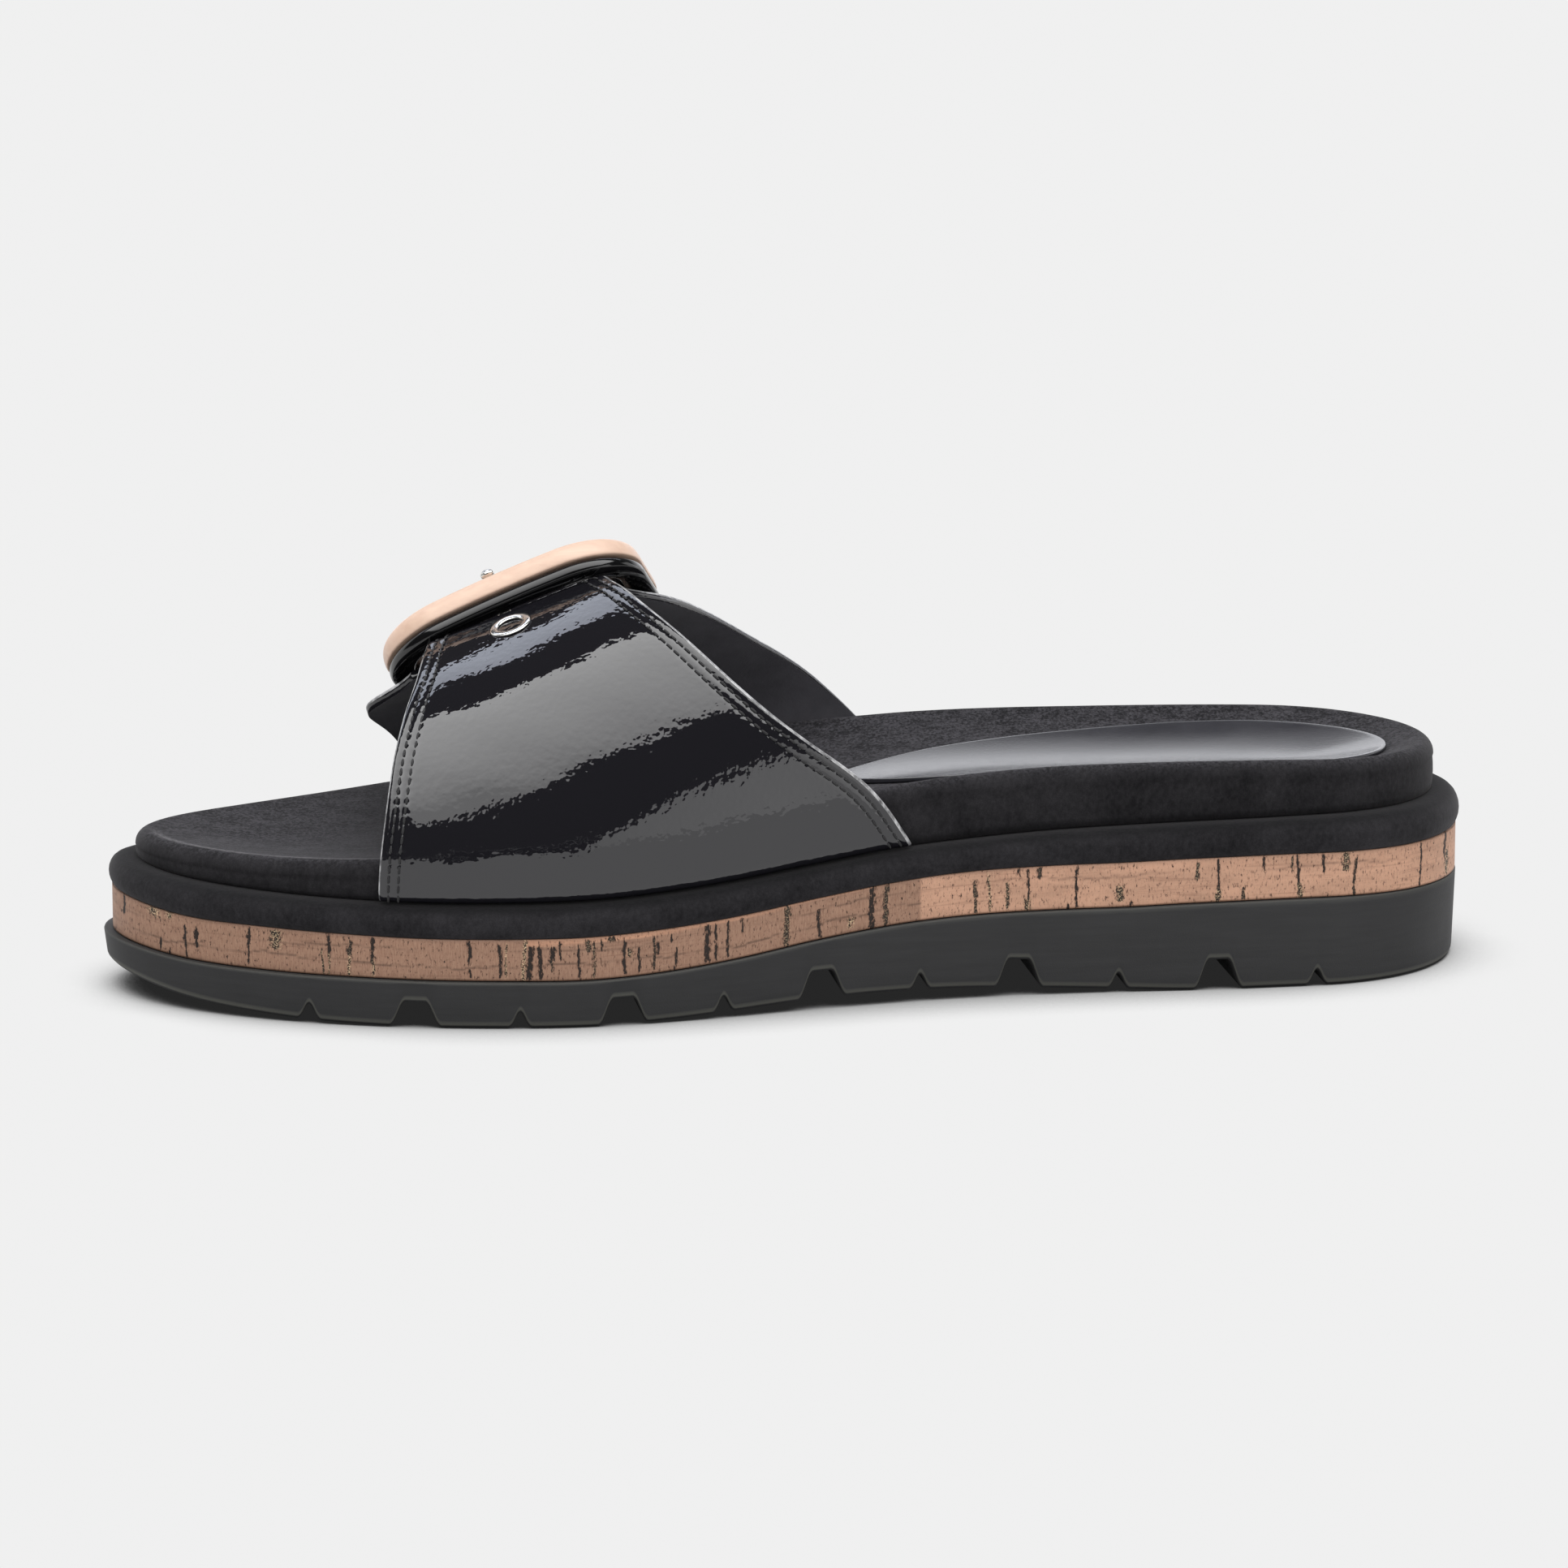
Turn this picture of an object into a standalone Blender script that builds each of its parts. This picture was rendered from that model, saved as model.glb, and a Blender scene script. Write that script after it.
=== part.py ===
"""Women's one-strap slide mule, right shoe, modelled in metres with +Z up.

X runs from toe (-) to heel (+), -Y is the inner side of the foot, +Y the outer side, z = 0 the floor.
The sole is a stack of lofted layers, the strap is a patch of a foot-shaped surface given a wall, and
the buckle is swept round a rounded rectangle. Sizes in the tables are millimetres.
"""

import math

import bmesh
import bpy
import numpy as np
from mathutils import Matrix, Vector

MM = 0.001

# Moves the tables' centre line to the middle of the finished outline
FRAME_SHIFT = (0.6, 0.97, 0.0)

# Platform outline
LENGTH = 264.0
END_ANGLE = 2.2
STATION_COUNT = 41
OUTLINE = (
    # share from toe, inner fullness, outer fullness
    (0.00, 56.0, 50.0),
    (0.08, 56.0, 50.0),
    (0.15, 56.0, 50.0),
    (0.25, 54.8, 49.6),
    (0.33, 52.6, 49.4),
    (0.40, 48.2, 48.5),
    (0.50, 41.4, 46.0),
    (0.60, 37.4, 43.6),
    (0.70, 38.4, 42.0),
    (0.80, 44.8, 45.0),
    (0.85, 49.7, 49.7),
    (0.90, 57.0, 57.0),
    (0.95, 63.4, 63.4),
    (1.00, 68.5, 68.5),
)

# Heights of the layers along the sole
LEVELS = (
    # x, sole lift, rubber top, cork top, ledge, footbed rim, cup depth
    (-132.0, 5.2, 11.1, 19.6, 25.6, 30.3, 1.0),
    (-120.0, 2.6, 9.9, 18.0, 24.3, 30.0, 1.8),
    (-105.0, 1.0, 9.4, 17.6, 23.5, 29.8, 2.6),
    (-88.0, 0.2, 9.2, 17.2, 23.0, 30.3, 3.2),
    (-75.0, 0.0, 9.05, 16.9, 22.8, 31.2, 3.8),
    (-60.0, 0.0, 9.0, 16.9, 22.9, 32.6, 4.4),
    (-45.0, 0.0, 9.0, 17.1, 23.2, 34.2, 4.8),
    (-30.0, 0.4, 9.8, 17.9, 24.0, 36.0, 5.0),
    (-15.0, 1.2, 11.4, 19.4, 25.4, 37.8, 5.2),
    (0.0, 2.0, 13.6, 21.5, 27.2, 39.4, 5.3),
    (15.0, 2.2, 15.3, 23.4, 29.0, 40.9, 5.5),
    (30.0, 1.9, 16.2, 24.6, 30.1, 42.2, 5.7),
    (45.0, 1.2, 16.5, 25.0, 31.0, 43.0, 6.0),
    (60.0, 0.5, 16.6, 25.2, 31.6, 43.3, 6.2),
    (72.0, 0.0, 17.0, 25.6, 32.0, 43.4, 6.3),
    (90.0, 0.0, 17.3, 25.9, 32.4, 43.2, 6.3),
    (105.0, 0.0, 17.3, 25.9, 32.7, 42.8, 6.2),
    (120.0, 0.0, 17.0, 25.8, 32.7, 42.4, 5.6),
    (132.0, 0.0, 16.8, 25.8, 32.7, 42.2, 4.5),
)
LIFT, RUBBER_TOP, CORK_TOP, LEDGE, RIM, CUP_DEPTH = range(1, 7)

# Outsole grooves, alternately V-shaped and wide, at one pitch
GROOVE_COUNT = 11
GROOVE_START = -96.7
GROOVE_PITCH = 19.42
SMALL_MOUTH = 3.4
SMALL_FLOOR = 0.5
SMALL_DEPTH = 3.2
WIDE_MOUTH = 8.6
WIDE_FLOOR = 4.6
WIDE_DEPTH_TOE = 4.6
WIDE_DEPTH_HEEL = 5.9
STATION_CLEAR = 0.6
SOLE_EDGE = 1.6
SOLE_FLARE = -0.5
SOLE_SHIFT = -0.8

# Layers above the rubber
GAP = 0.3
CORK_INSET = 0.4
WRAP_RINGS = (
    # inset, share of the height between cork and ledge
    (0.7, 0.00),
    (0.1, 0.16),
    (-0.2, 0.42),
    (0.2, 0.70),
    (1.2, 0.90),
    (3.0, 0.99),
    (4.2, 1.00),
)
FOOTBED_INSET = 5.0
FOOTBED_RINGS = (
    # inset beyond the wall, drop below the rim
    (0.0, 2.8),
    (0.4, 1.3),
    (1.3, 0.35),
    (2.6, 0.0),
)
CUP_SHARES = (0.08, 0.18, 0.32, 0.50, 0.72, 0.93)
CUP_POWER = 2.2
SPINE_SQUEEZE = 0.72

# Leaf-shaped heel pad, in shares from the rim to the spine of the footbed
PAD_THICKNESS = 0.8
PAD_EDGE = (
    # share from toe, share in from the rim
    (0.545, 0.95),
    (0.575, 0.80),
    (0.62, 0.62),
    (0.68, 0.46),
    (0.75, 0.33),
    (0.82, 0.25),
    (0.90, 0.22),
    (0.95, 0.22),
    (1.00, 0.22),
)
PAD_STATIONS = 22
PAD_SPINE = 0.97
PAD_SHARES = (0.0, 0.33, 0.66, 0.96)

# Strap: a patch of the foot's surface
STRAP_INSET = 2.3
STRAP_WALL = 2.0
INSTEP = (
    # x, crest height of the foot surface
    (-92.0, 60.0),
    (-74.0, 66.0),
    (-57.0, 72.0),
    (-39.0, 78.2),
    (-29.0, 80.5),
    (-18.0, 82.5),
    (-3.0, 85.0),
    (28.0, 89.0),
)
STRAP = (
    # across (- inner, + outer), height share at front, at rear, front x, tail front x, tail rear x, rear x
    (-1.000, 0.000, 0.000, -83.8, -66.0, -24.0, 19.0),
    (-1.015, 0.120, 0.120, -83.8, -67.0, -26.0, 14.8),
    (-1.010, 0.250, 0.250, -83.3, -68.0, -28.0, 9.5),
    (-0.950, 0.450, 0.450, -82.0, -69.0, -32.0, -4.0),
    (-0.830, 0.650, 0.650, -80.2, -69.5, -36.0, -15.6),
    (-0.660, 0.820, 0.820, -77.4, -69.5, -38.5, -24.6),
    (-0.450, 0.916, 0.930, -74.2, -69.5, -40.0, -31.4),
    (-0.240, 0.966, 0.990, -72.6, -69.4, -40.2, -34.8),
    (-0.140, 0.980, 1.002, -72.2, -69.2, -40.4, -34.8),
    (-0.050, 0.894, 0.945, -72.2, -69.0, -40.6, -34.8),
    (0.080, 0.765, 0.862, -78.3, -68.6, -40.6, -26.0),
    (0.200, 0.728, 0.818, -83.2, -68.2, -40.0, -21.6),
    (0.450, 0.545, 0.712, -77.0, -67.0, -38.5, -13.8),
    (0.680, 0.390, 0.552, -73.3, -66.0, -34.0, -2.8),
    (0.870, 0.300, 0.410, -72.0, -63.0, -28.0, 7.2),
    (0.980, 0.200, 0.250, -71.5, -60.0, -22.0, 16.0),
    (1.000, 0.100, 0.110, -71.5, -58.0, -18.0, 23.0),
    (1.000, 0.000, 0.000, -71.5, -57.0, -16.0, 27.0),
)
STRAP_ROWS = 43
FRONT_COLUMNS = 2
TAIL_COLUMNS = 6
REAR_COLUMNS = 4
TAIL_FIRST = 0.10
TAIL_LAST = 0.42
TAIL_RAISE = 1.2

# Buckle
BUCKLE_CENTRE = (-50.2, 10.4, 63.7)
BUCKLE_PITCH = 20.2
BUCKLE_TILT = 32.8
BUCKLE_YAW = -6.4
BUCKLE_LENGTH = 53.3
BUCKLE_WIDTH = 42.6
BUCKLE_CORNER = 14.0
BUCKLE_ARCH = 1.1
BUCKLE_CORNER_STEPS = 9
BUCKLE_SIDE_STEPS = 5
BASE_SECTION = (
    # inset from the outer edge, height
    (0.6, 0.0),
    (0.0, 0.5),
    (0.0, 2.0),
    (0.8, 2.7),
    (4.6, 2.7),
    (5.2, 2.1),
    (5.2, 0.5),
    (4.6, 0.0),
)
FACE_SECTION = (
    # inset from the outer edge, height
    (0.7, 3.0),
    (0.1, 3.5),
    (-0.1, 4.6),
    (0.2, 5.9),
    (0.9, 6.7),
    (1.9, 7.0),
    (3.4, 7.0),
    (4.5, 6.6),
    (5.1, 5.6),
    (5.1, 3.5),
    (4.6, 3.0),
)
PRONG_PATH = (
    # along, across, height over the buckle's underside
    (-2.4, -12.5, -0.9),
    (-2.4, -13.6, 2.0),
    (-2.4, -14.6, 5.0),
    (-2.4, -15.6, 7.6),
    (-2.4, -17.0, 8.3),
    (-2.4, -18.6, 8.3),
)
PRONG_RADIUS = 0.9
PRONG_TIP = 0.6
PRONG_SIDES = 10

# Spare eyelet on the inner strap, as a place on the strap
EYELET_ACROSS = -0.30
EYELET_X = -55.6
EYELET_FIRST_ROW = 2.0
EYELET_LAST_ROW = 10.0
EYELET_SAMPLES = 141
EYELET_REACH_ACROSS = 0.02
EYELET_REACH_ALONG = 1.0
EYELET_SECTION = (
    # radius, height over the strap
    (2.30, 0.30),
    (4.15, 0.30),
    (4.15, 0.55),
    (3.60, 0.90),
    (2.90, 0.95),
    (2.30, 0.70),
)
EYELET_STEPS = 24

MATERIALS = {
    # name: colour, roughness, metallic
    "rubber": ((0.030, 0.031, 0.032), 0.70, 0.0),
    "cork": ((0.530, 0.290, 0.160), 0.60, 0.0),
    "microfibre": ((0.012, 0.011, 0.012), 0.95, 0.0),
    "pad_leather": ((0.040, 0.040, 0.048), 0.45, 0.0),
    "patent_leather": ((0.006, 0.006, 0.007), 0.10, 0.0),
    "black_gloss": ((0.005, 0.005, 0.005), 0.12, 0.0),
    "beige_gloss": ((0.800, 0.480, 0.300), 0.30, 0.0),
    "bright_metal": ((0.700, 0.690, 0.660), 0.22, 1.0),
}


def column(table, index, x):
    """Smooth curve through one column of a table whose first column is the station."""
    keys = np.array([row[0] for row in table])
    values = np.array([row[index] for row in table])
    slopes = np.gradient(values, keys)
    x = np.clip(x, keys[0], keys[-1])
    i = np.clip(np.searchsorted(keys, x) - 1, 0, len(keys) - 2)
    step = keys[i + 1] - keys[i]
    t = (x - keys[i]) / step
    rise = t * t * (3.0 - 2.0 * t)
    bend = t * (1.0 - t) * ((1.0 - t) * slopes[i] - t * slopes[i + 1]) * step
    return values[i] + (values[i + 1] - values[i]) * rise + bend


def level(index, x):
    return column(LEVELS, index, x)


def half_widths(x):
    """Inner and outer half widths of the platform at a station."""
    share = np.clip((x + LENGTH / 2.0) / LENGTH, 0.0, 1.0)
    run = np.sqrt(1.0 - (1.0 - 2.0 * share) ** 2)
    return column(OUTLINE, 1, share) * run, column(OUTLINE, 2, share) * run


def sole_stations():
    angles = np.linspace(math.radians(END_ANGLE), math.pi - math.radians(END_ANGLE), STATION_COUNT)
    return -LENGTH / 2.0 * np.cos(angles)


def groove_profile():
    """Corner stations of the grooves with the depth cut at each."""
    corners = []
    for k in range(GROOVE_COUNT):
        centre = GROOVE_START + k * GROOVE_PITCH
        if k % 2 == 0:
            mouth, floor, depth = SMALL_MOUTH, SMALL_FLOOR, SMALL_DEPTH
        else:
            share = k / (GROOVE_COUNT - 1)
            mouth, floor = WIDE_MOUTH, WIDE_FLOOR
            depth = WIDE_DEPTH_TOE + (WIDE_DEPTH_HEEL - WIDE_DEPTH_TOE) * share
        corners.append((centre - mouth / 2.0, 0.0))
        corners.append((centre - floor / 2.0, depth))
        corners.append((centre + floor / 2.0, depth))
        corners.append((centre + mouth / 2.0, 0.0))
    return corners


def ring(stations, inset):
    """Closed outline: inner side toe to heel, then outer side back, moved in along its normals."""
    inner, outer = half_widths(stations)
    side_in = np.column_stack((stations, -inner))
    side_out = np.column_stack((stations, outer))
    loop = np.vstack((side_in, side_out[::-1]))
    along = np.roll(loop, -1, axis=0) - np.roll(loop, 1, axis=0)
    normal = np.column_stack((along[:, 1], -along[:, 0]))
    normal /= np.linalg.norm(normal, axis=1)[:, None]
    return loop - normal * inset


def lifted(loop, heights):
    return np.column_stack((loop, heights))


def loft(rings):
    """Closed solid through rings of equal count, bottom ring first, capped across the sole."""
    count = len(rings[0])
    half = count // 2
    points = np.vstack(rings)
    faces = []
    for r in range(len(rings) - 1):
        low = r * count
        high = low + count
        for j in range(count):
            k = (j + 1) % count
            faces.append((low + j, low + k, high + k, high + j))
    top = (len(rings) - 1) * count
    for i in range(half - 1):
        a, b, c, d = i, i + 1, count - 2 - i, count - 1 - i
        faces.append((d, c, b, a))
        faces.append((top + a, top + b, top + c, top + d))
    return points, faces


def material(name):
    found = bpy.data.materials.get(name)
    if found:
        return found
    colour, roughness, metallic = MATERIALS[name]
    made = bpy.data.materials.new(name)
    made.use_nodes = True
    shader = made.node_tree.nodes["Principled BSDF"]
    shader.inputs["Base Color"].default_value = (*colour, 1.0)
    shader.inputs["Roughness"].default_value = roughness
    shader.inputs["Metallic"].default_value = metallic
    made.diffuse_color = (*colour, 1.0)
    return made


def solid(name, points, faces, look, collection, smooth=True):
    """Named object from points in millimetres, with its normals turned outward."""
    mesh = bpy.data.meshes.new(name)
    shift = Vector(FRAME_SHIFT)
    mesh.from_pydata([(Vector(p) + shift) * MM for p in points], [], faces)
    work = bmesh.new()
    work.from_mesh(mesh)
    bmesh.ops.recalc_face_normals(work, faces=work.faces)
    bmesh.ops.triangulate(work, faces=work.faces)
    for face in work.faces:
        face.smooth = smooth
    work.to_mesh(mesh)
    work.free()
    mesh.materials.append(material(look))
    piece = bpy.data.objects.new(name, mesh)
    collection.objects.link(piece)
    return piece


def build_outsole(collection):
    corners = np.array(groove_profile())
    base = [x for x in sole_stations() if np.min(np.abs(x - corners[:, 0])) > STATION_CLEAR]
    stations = np.array(sorted(base + list(corners[:, 0])))
    depth = np.interp(stations, corners[:, 0], corners[:, 1])
    depth = np.concatenate((depth, depth[::-1]))
    ahead = np.array((SOLE_SHIFT, 0.0))
    edge = ring(stations, SOLE_EDGE) + ahead
    wall = ring(stations, 0.0) + ahead
    brim = ring(stations, SOLE_FLARE) + ahead
    low = np.maximum(level(LIFT, edge[:, 0]), 0.0) + depth
    rings = [
        lifted(edge, low),
        lifted(wall, low + SOLE_EDGE),
        lifted(brim, level(RUBBER_TOP, brim[:, 0])),
    ]
    return solid("outsole", *loft(rings), "rubber", collection, smooth=False)


def build_cork_band(collection):
    loop = ring(sole_stations(), CORK_INSET)
    rings = [
        lifted(loop, level(RUBBER_TOP, loop[:, 0]) + GAP),
        lifted(loop, level(CORK_TOP, loop[:, 0])),
    ]
    return solid("cork_band", *loft(rings), "cork", collection)


def build_platform_wrap(collection):
    rings = []
    for inset, share in WRAP_RINGS:
        loop = ring(sole_stations(), inset)
        low = level(CORK_TOP, loop[:, 0]) + GAP
        high = level(LEDGE, loop[:, 0])
        rings.append(lifted(loop, low + (high - low) * share))
    return solid("platform_wrap", *loft(rings), "microfibre", collection)


def cup_ring(stations, shares):
    """Ring on the hollow of the footbed at a share of the way from the rim to its spine."""
    rim = ring(stations, FOOTBED_INSET + FOOTBED_RINGS[-1][0])
    inner, outer = half_widths(stations)
    spine = np.column_stack((stations * SPINE_SQUEEZE, (outer - inner) / 2.0))
    spine = np.vstack((spine, spine[::-1]))
    shares = np.broadcast_to(shares, len(rim))
    loop = rim + (spine - rim) * shares[:, None]
    drop = level(CUP_DEPTH, loop[:, 0]) * (1.0 - (1.0 - shares) ** CUP_POWER)
    return lifted(loop, level(RIM, loop[:, 0]) - drop)


def build_footbed(collection):
    stations = sole_stations()
    foot = ring(stations, FOOTBED_INSET)
    rings = [lifted(foot, level(LEDGE, foot[:, 0]) + GAP)]
    for inset, drop in FOOTBED_RINGS:
        loop = ring(stations, FOOTBED_INSET + inset)
        rings.append(lifted(loop, level(RIM, loop[:, 0]) - drop))
    for share in CUP_SHARES:
        rings.append(cup_ring(stations, share))
    return solid("footbed", *loft(rings), "microfibre", collection)


def build_heel_pad(collection):
    first = math.acos(1.0 - 2.0 * PAD_EDGE[0][0])
    angles = np.linspace(first, math.pi - math.radians(END_ANGLE), PAD_STATIONS)
    stations = -LENGTH / 2.0 * np.cos(angles)
    edge = column(PAD_EDGE, 1, (1.0 - np.cos(angles)) / 2.0)
    edge = np.concatenate((edge, edge[::-1]))
    under = []
    over = []
    for share in PAD_SHARES:
        loop = cup_ring(stations, edge + (PAD_SPINE - edge) * share)
        under.append(loop + (0.0, 0.0, GAP))
        over.append(loop + (0.0, 0.0, GAP + PAD_THICKNESS))
    return solid("heel_pad", *loft(under[::-1] + over), "pad_leather", collection)


def foot_point(across, height, x):
    """Point of the foot surface that the strap lies on."""
    inner, outer = half_widths(x)
    reach = np.where(across < 0.0, inner, outer) - STRAP_INSET
    low = level(LEDGE, x) + GAP
    crest = column(INSTEP, 1, x)
    return np.stack((x, across * reach, low + height * (crest - low)), axis=-1)


def strap_row(position):
    """Strap table read at a fractional row."""
    table = [(i, *row) for i, row in enumerate(STRAP)]
    return [float(column(table, c, position)) for c in range(1, 8)]


def strap_grid():
    """Outer points of the strap, rows from the inner ledge over the foot to the outer ledge."""
    rows = []
    for position in np.linspace(0.0, len(STRAP) - 1.0, STRAP_ROWS):
        across, height_front, height_rear, front, tail_front, tail_rear, rear = strap_row(position)
        x = np.concatenate((
            np.linspace(front, tail_front, FRONT_COLUMNS, endpoint=False),
            np.linspace(tail_front, tail_rear, TAIL_COLUMNS, endpoint=False),
            np.linspace(tail_rear, rear, REAR_COLUMNS + 1),
        ))
        height = height_front + (height_rear - height_front) * (x - front) / (rear - front)
        rows.append(foot_point(across, height, x))
    return np.array(rows)


def grid_normals(grid):
    down = np.gradient(grid, axis=0)
    along = np.gradient(grid, axis=1)
    normal = np.cross(along, down)
    normal /= np.linalg.norm(normal, axis=2)[:, :, None]
    return normal


def build_upper(collection):
    outer = strap_grid()
    normal = grid_normals(outer)
    inner = outer - normal * STRAP_WALL
    inner[0, :, 2] = outer[0, :, 2]
    inner[-1, :, 2] = outer[-1, :, 2]
    rows, columns = outer.shape[:2]
    count = rows * columns
    points = np.vstack((outer.reshape(-1, 3), inner.reshape(-1, 3)))
    faces = []
    for r in range(rows - 1):
        for c in range(columns - 1):
            a = r * columns + c
            quad = (a, a + 1, a + columns + 1, a + columns)
            faces.append(quad)
            faces.append(tuple(count + i for i in reversed(quad)))
    rim = [c for c in range(columns)]
    rim += [r * columns + columns - 1 for r in range(1, rows)]
    rim += [(rows - 1) * columns + c for c in range(columns - 2, -1, -1)]
    rim += [r * columns for r in range(rows - 2, 0, -1)]
    for i, a in enumerate(rim):
        b = rim[(i + 1) % len(rim)]
        faces.append((a, b, count + b, count + a))
    points, faces = raise_tail(points, faces, normal)
    return solid("upper", points, faces, "patent_leather", collection)


def raise_tail(points, faces, normal):
    """Lift the strap end that lies over the outer strap by one thickness of leather."""
    rows, columns = normal.shape[:2]
    places = np.linspace(0.0, len(STRAP) - 1.0, rows)
    across = [strap_row(p)[0] for p in places]
    inside = [r for r in range(rows) if TAIL_FIRST <= across[r] <= TAIL_LAST]
    spans = {}
    for r in inside:
        narrow = 1 if r == inside[-1] else 0
        spans[r] = (FRONT_COLUMNS + narrow, FRONT_COLUMNS + TAIL_COLUMNS - narrow)
    lifted_index = {}
    points = list(points)
    for r, (first, last) in spans.items():
        for c in range(first, last + 1):
            a = r * columns + c
            lifted_index[a] = len(points)
            points.append(points[a] + normal[r, c] * TAIL_RAISE)
    raised = set()
    for r in inside[:-1]:
        for c in range(FRONT_COLUMNS, FRONT_COLUMNS + TAIL_COLUMNS):
            a = r * columns + c
            quad = (a, a + 1, a + columns + 1, a + columns)
            if all(i in lifted_index for i in quad):
                raised.add(quad)
    made = []
    edges = {}
    for face in faces:
        if face not in raised:
            made.append(face)
            continue
        made.append(tuple(lifted_index[i] for i in face))
        for i, a in enumerate(face):
            b = face[(i + 1) % 4]
            if (b, a) in edges:
                del edges[(b, a)]
            else:
                edges[(a, b)] = True
    for a, b in edges:
        made.append((a, b, lifted_index[b], lifted_index[a]))
    used = sorted({i for face in made for i in face})
    place = {old: new for new, old in enumerate(used)}
    return [points[i] for i in used], [tuple(place[i] for i in face) for face in made]


def buckle_frame():
    """Rotation and place of the buckle: along the foot, across it, and out of its face."""
    turn = Matrix.Rotation(math.radians(-BUCKLE_PITCH), 4, "Y")
    turn = turn @ Matrix.Rotation(math.radians(-BUCKLE_TILT), 4, "X")
    turn = turn @ Matrix.Rotation(math.radians(BUCKLE_YAW), 4, "Z")
    return Matrix.Translation(BUCKLE_CENTRE) @ turn


def buckle_loop(inset):
    """Rounded rectangle, moved in by an inset, with evenly stepped corners and sides."""
    half_long = BUCKLE_LENGTH / 2.0 - BUCKLE_CORNER
    half_wide = BUCKLE_WIDTH / 2.0 - BUCKLE_CORNER
    radius = BUCKLE_CORNER - inset
    corners = ((1, 1, 0.0), (-1, 1, 90.0), (-1, -1, 180.0), (1, -1, 270.0))
    loop = []
    for sign_long, sign_wide, start in corners:
        for angle in np.radians(np.linspace(start, start + 90.0, BUCKLE_CORNER_STEPS)):
            x = sign_long * half_long + radius * math.cos(angle)
            y = sign_wide * half_wide + radius * math.sin(angle)
            loop.append((x, y))
    return fill_sides(loop)


def fill_sides(loop):
    """Add points along the straight sides between the rounded corners."""
    filled = []
    for i, here in enumerate(loop):
        there = loop[(i + 1) % len(loop)]
        filled.append(here)
        if (i + 1) % BUCKLE_CORNER_STEPS == 0:
            for s in range(1, BUCKLE_SIDE_STEPS):
                t = s / BUCKLE_SIDE_STEPS
                filled.append((here[0] + (there[0] - here[0]) * t, here[1] + (there[1] - here[1]) * t))
    return filled


def arch(along):
    """Drop of the buckle towards its ends, where it follows the foot."""
    return -BUCKLE_ARCH * (2.0 * along / BUCKLE_LENGTH) ** 2


def build_buckle_ring(name, section, look, collection):
    frame = buckle_frame()
    loops = [buckle_loop(inset) for inset, _ in section]
    count = len(loops[0])
    points = []
    for loop, (_, height) in zip(loops, section):
        for x, y in loop:
            points.append(frame @ Vector((x, y, height + arch(x))))
    faces = []
    for r in range(len(section)):
        low = r * count
        high = ((r + 1) % len(section)) * count
        for j in range(count):
            k = (j + 1) % count
            faces.append((low + j, low + k, high + k, high + j))
    return solid(name, points, faces, look, collection)


def build_prong(collection):
    """Round pin from the strap's eyelet up over the near bar of the buckle."""
    frame = buckle_frame()
    path = [Vector((x, y, h + arch(x))) for x, y, h in PRONG_PATH]
    points = []
    for i, here in enumerate(path):
        ahead = path[min(i + 1, len(path) - 1)] - path[max(i - 1, 0)]
        up = ahead.cross(Vector((1, 0, 0))).normalized()
        radius = PRONG_RADIUS * (PRONG_TIP if i == len(path) - 1 else 1.0)
        for s in range(PRONG_SIDES):
            angle = 2.0 * math.pi * s / PRONG_SIDES
            offset = Vector((1, 0, 0)) * math.cos(angle) + up * math.sin(angle)
            points.append(frame @ (here + offset * radius))
    faces = [tuple(range(PRONG_SIDES))]
    for i in range(len(path) - 1):
        low = i * PRONG_SIDES
        high = low + PRONG_SIDES
        for s in range(PRONG_SIDES):
            k = (s + 1) % PRONG_SIDES
            faces.append((low + s, low + k, high + k, high + s))
    last = (len(path) - 1) * PRONG_SIDES
    faces.append(tuple(range(last, last + PRONG_SIDES)))
    return solid("buckle_prong", points, faces, "bright_metal", collection)


def strap_place(across, x):
    """Point and outward normal of the strap at a place across the foot."""
    places = np.linspace(EYELET_FIRST_ROW, EYELET_LAST_ROW, EYELET_SAMPLES)
    rows = np.array([strap_row(p) for p in places])

    def at(a, b):
        front_height, rear_height, front, rear = (np.interp(a, rows[:, 0], rows[:, c]) for c in (1, 2, 3, 6))
        height = front_height + (rear_height - front_height) * (b - front) / (rear - front)
        return foot_point(np.array(a), height, np.array(b))

    here = at(across, x)
    side = at(across + EYELET_REACH_ACROSS, x) - at(across - EYELET_REACH_ACROSS, x)
    along = at(across, x + EYELET_REACH_ALONG) - at(across, x - EYELET_REACH_ALONG)
    normal = np.cross(along, side)
    return Vector(here), Vector(normal).normalized()


def build_eyelet(collection):
    here, normal = strap_place(EYELET_ACROSS, EYELET_X)
    spin = Vector((0, 0, 1)).rotation_difference(normal).to_matrix()
    points = []
    for radius, height in EYELET_SECTION:
        for s in range(EYELET_STEPS):
            angle = 2.0 * math.pi * s / EYELET_STEPS
            local = Vector((radius * math.cos(angle), radius * math.sin(angle), height))
            points.append(here + spin @ local)
    faces = []
    for r in range(len(EYELET_SECTION)):
        low = r * EYELET_STEPS
        high = ((r + 1) % len(EYELET_SECTION)) * EYELET_STEPS
        for s in range(EYELET_STEPS):
            k = (s + 1) % EYELET_STEPS
            faces.append((low + s, low + k, high + k, high + s))
    return solid("eyelet", points, faces, "bright_metal", collection)


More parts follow.
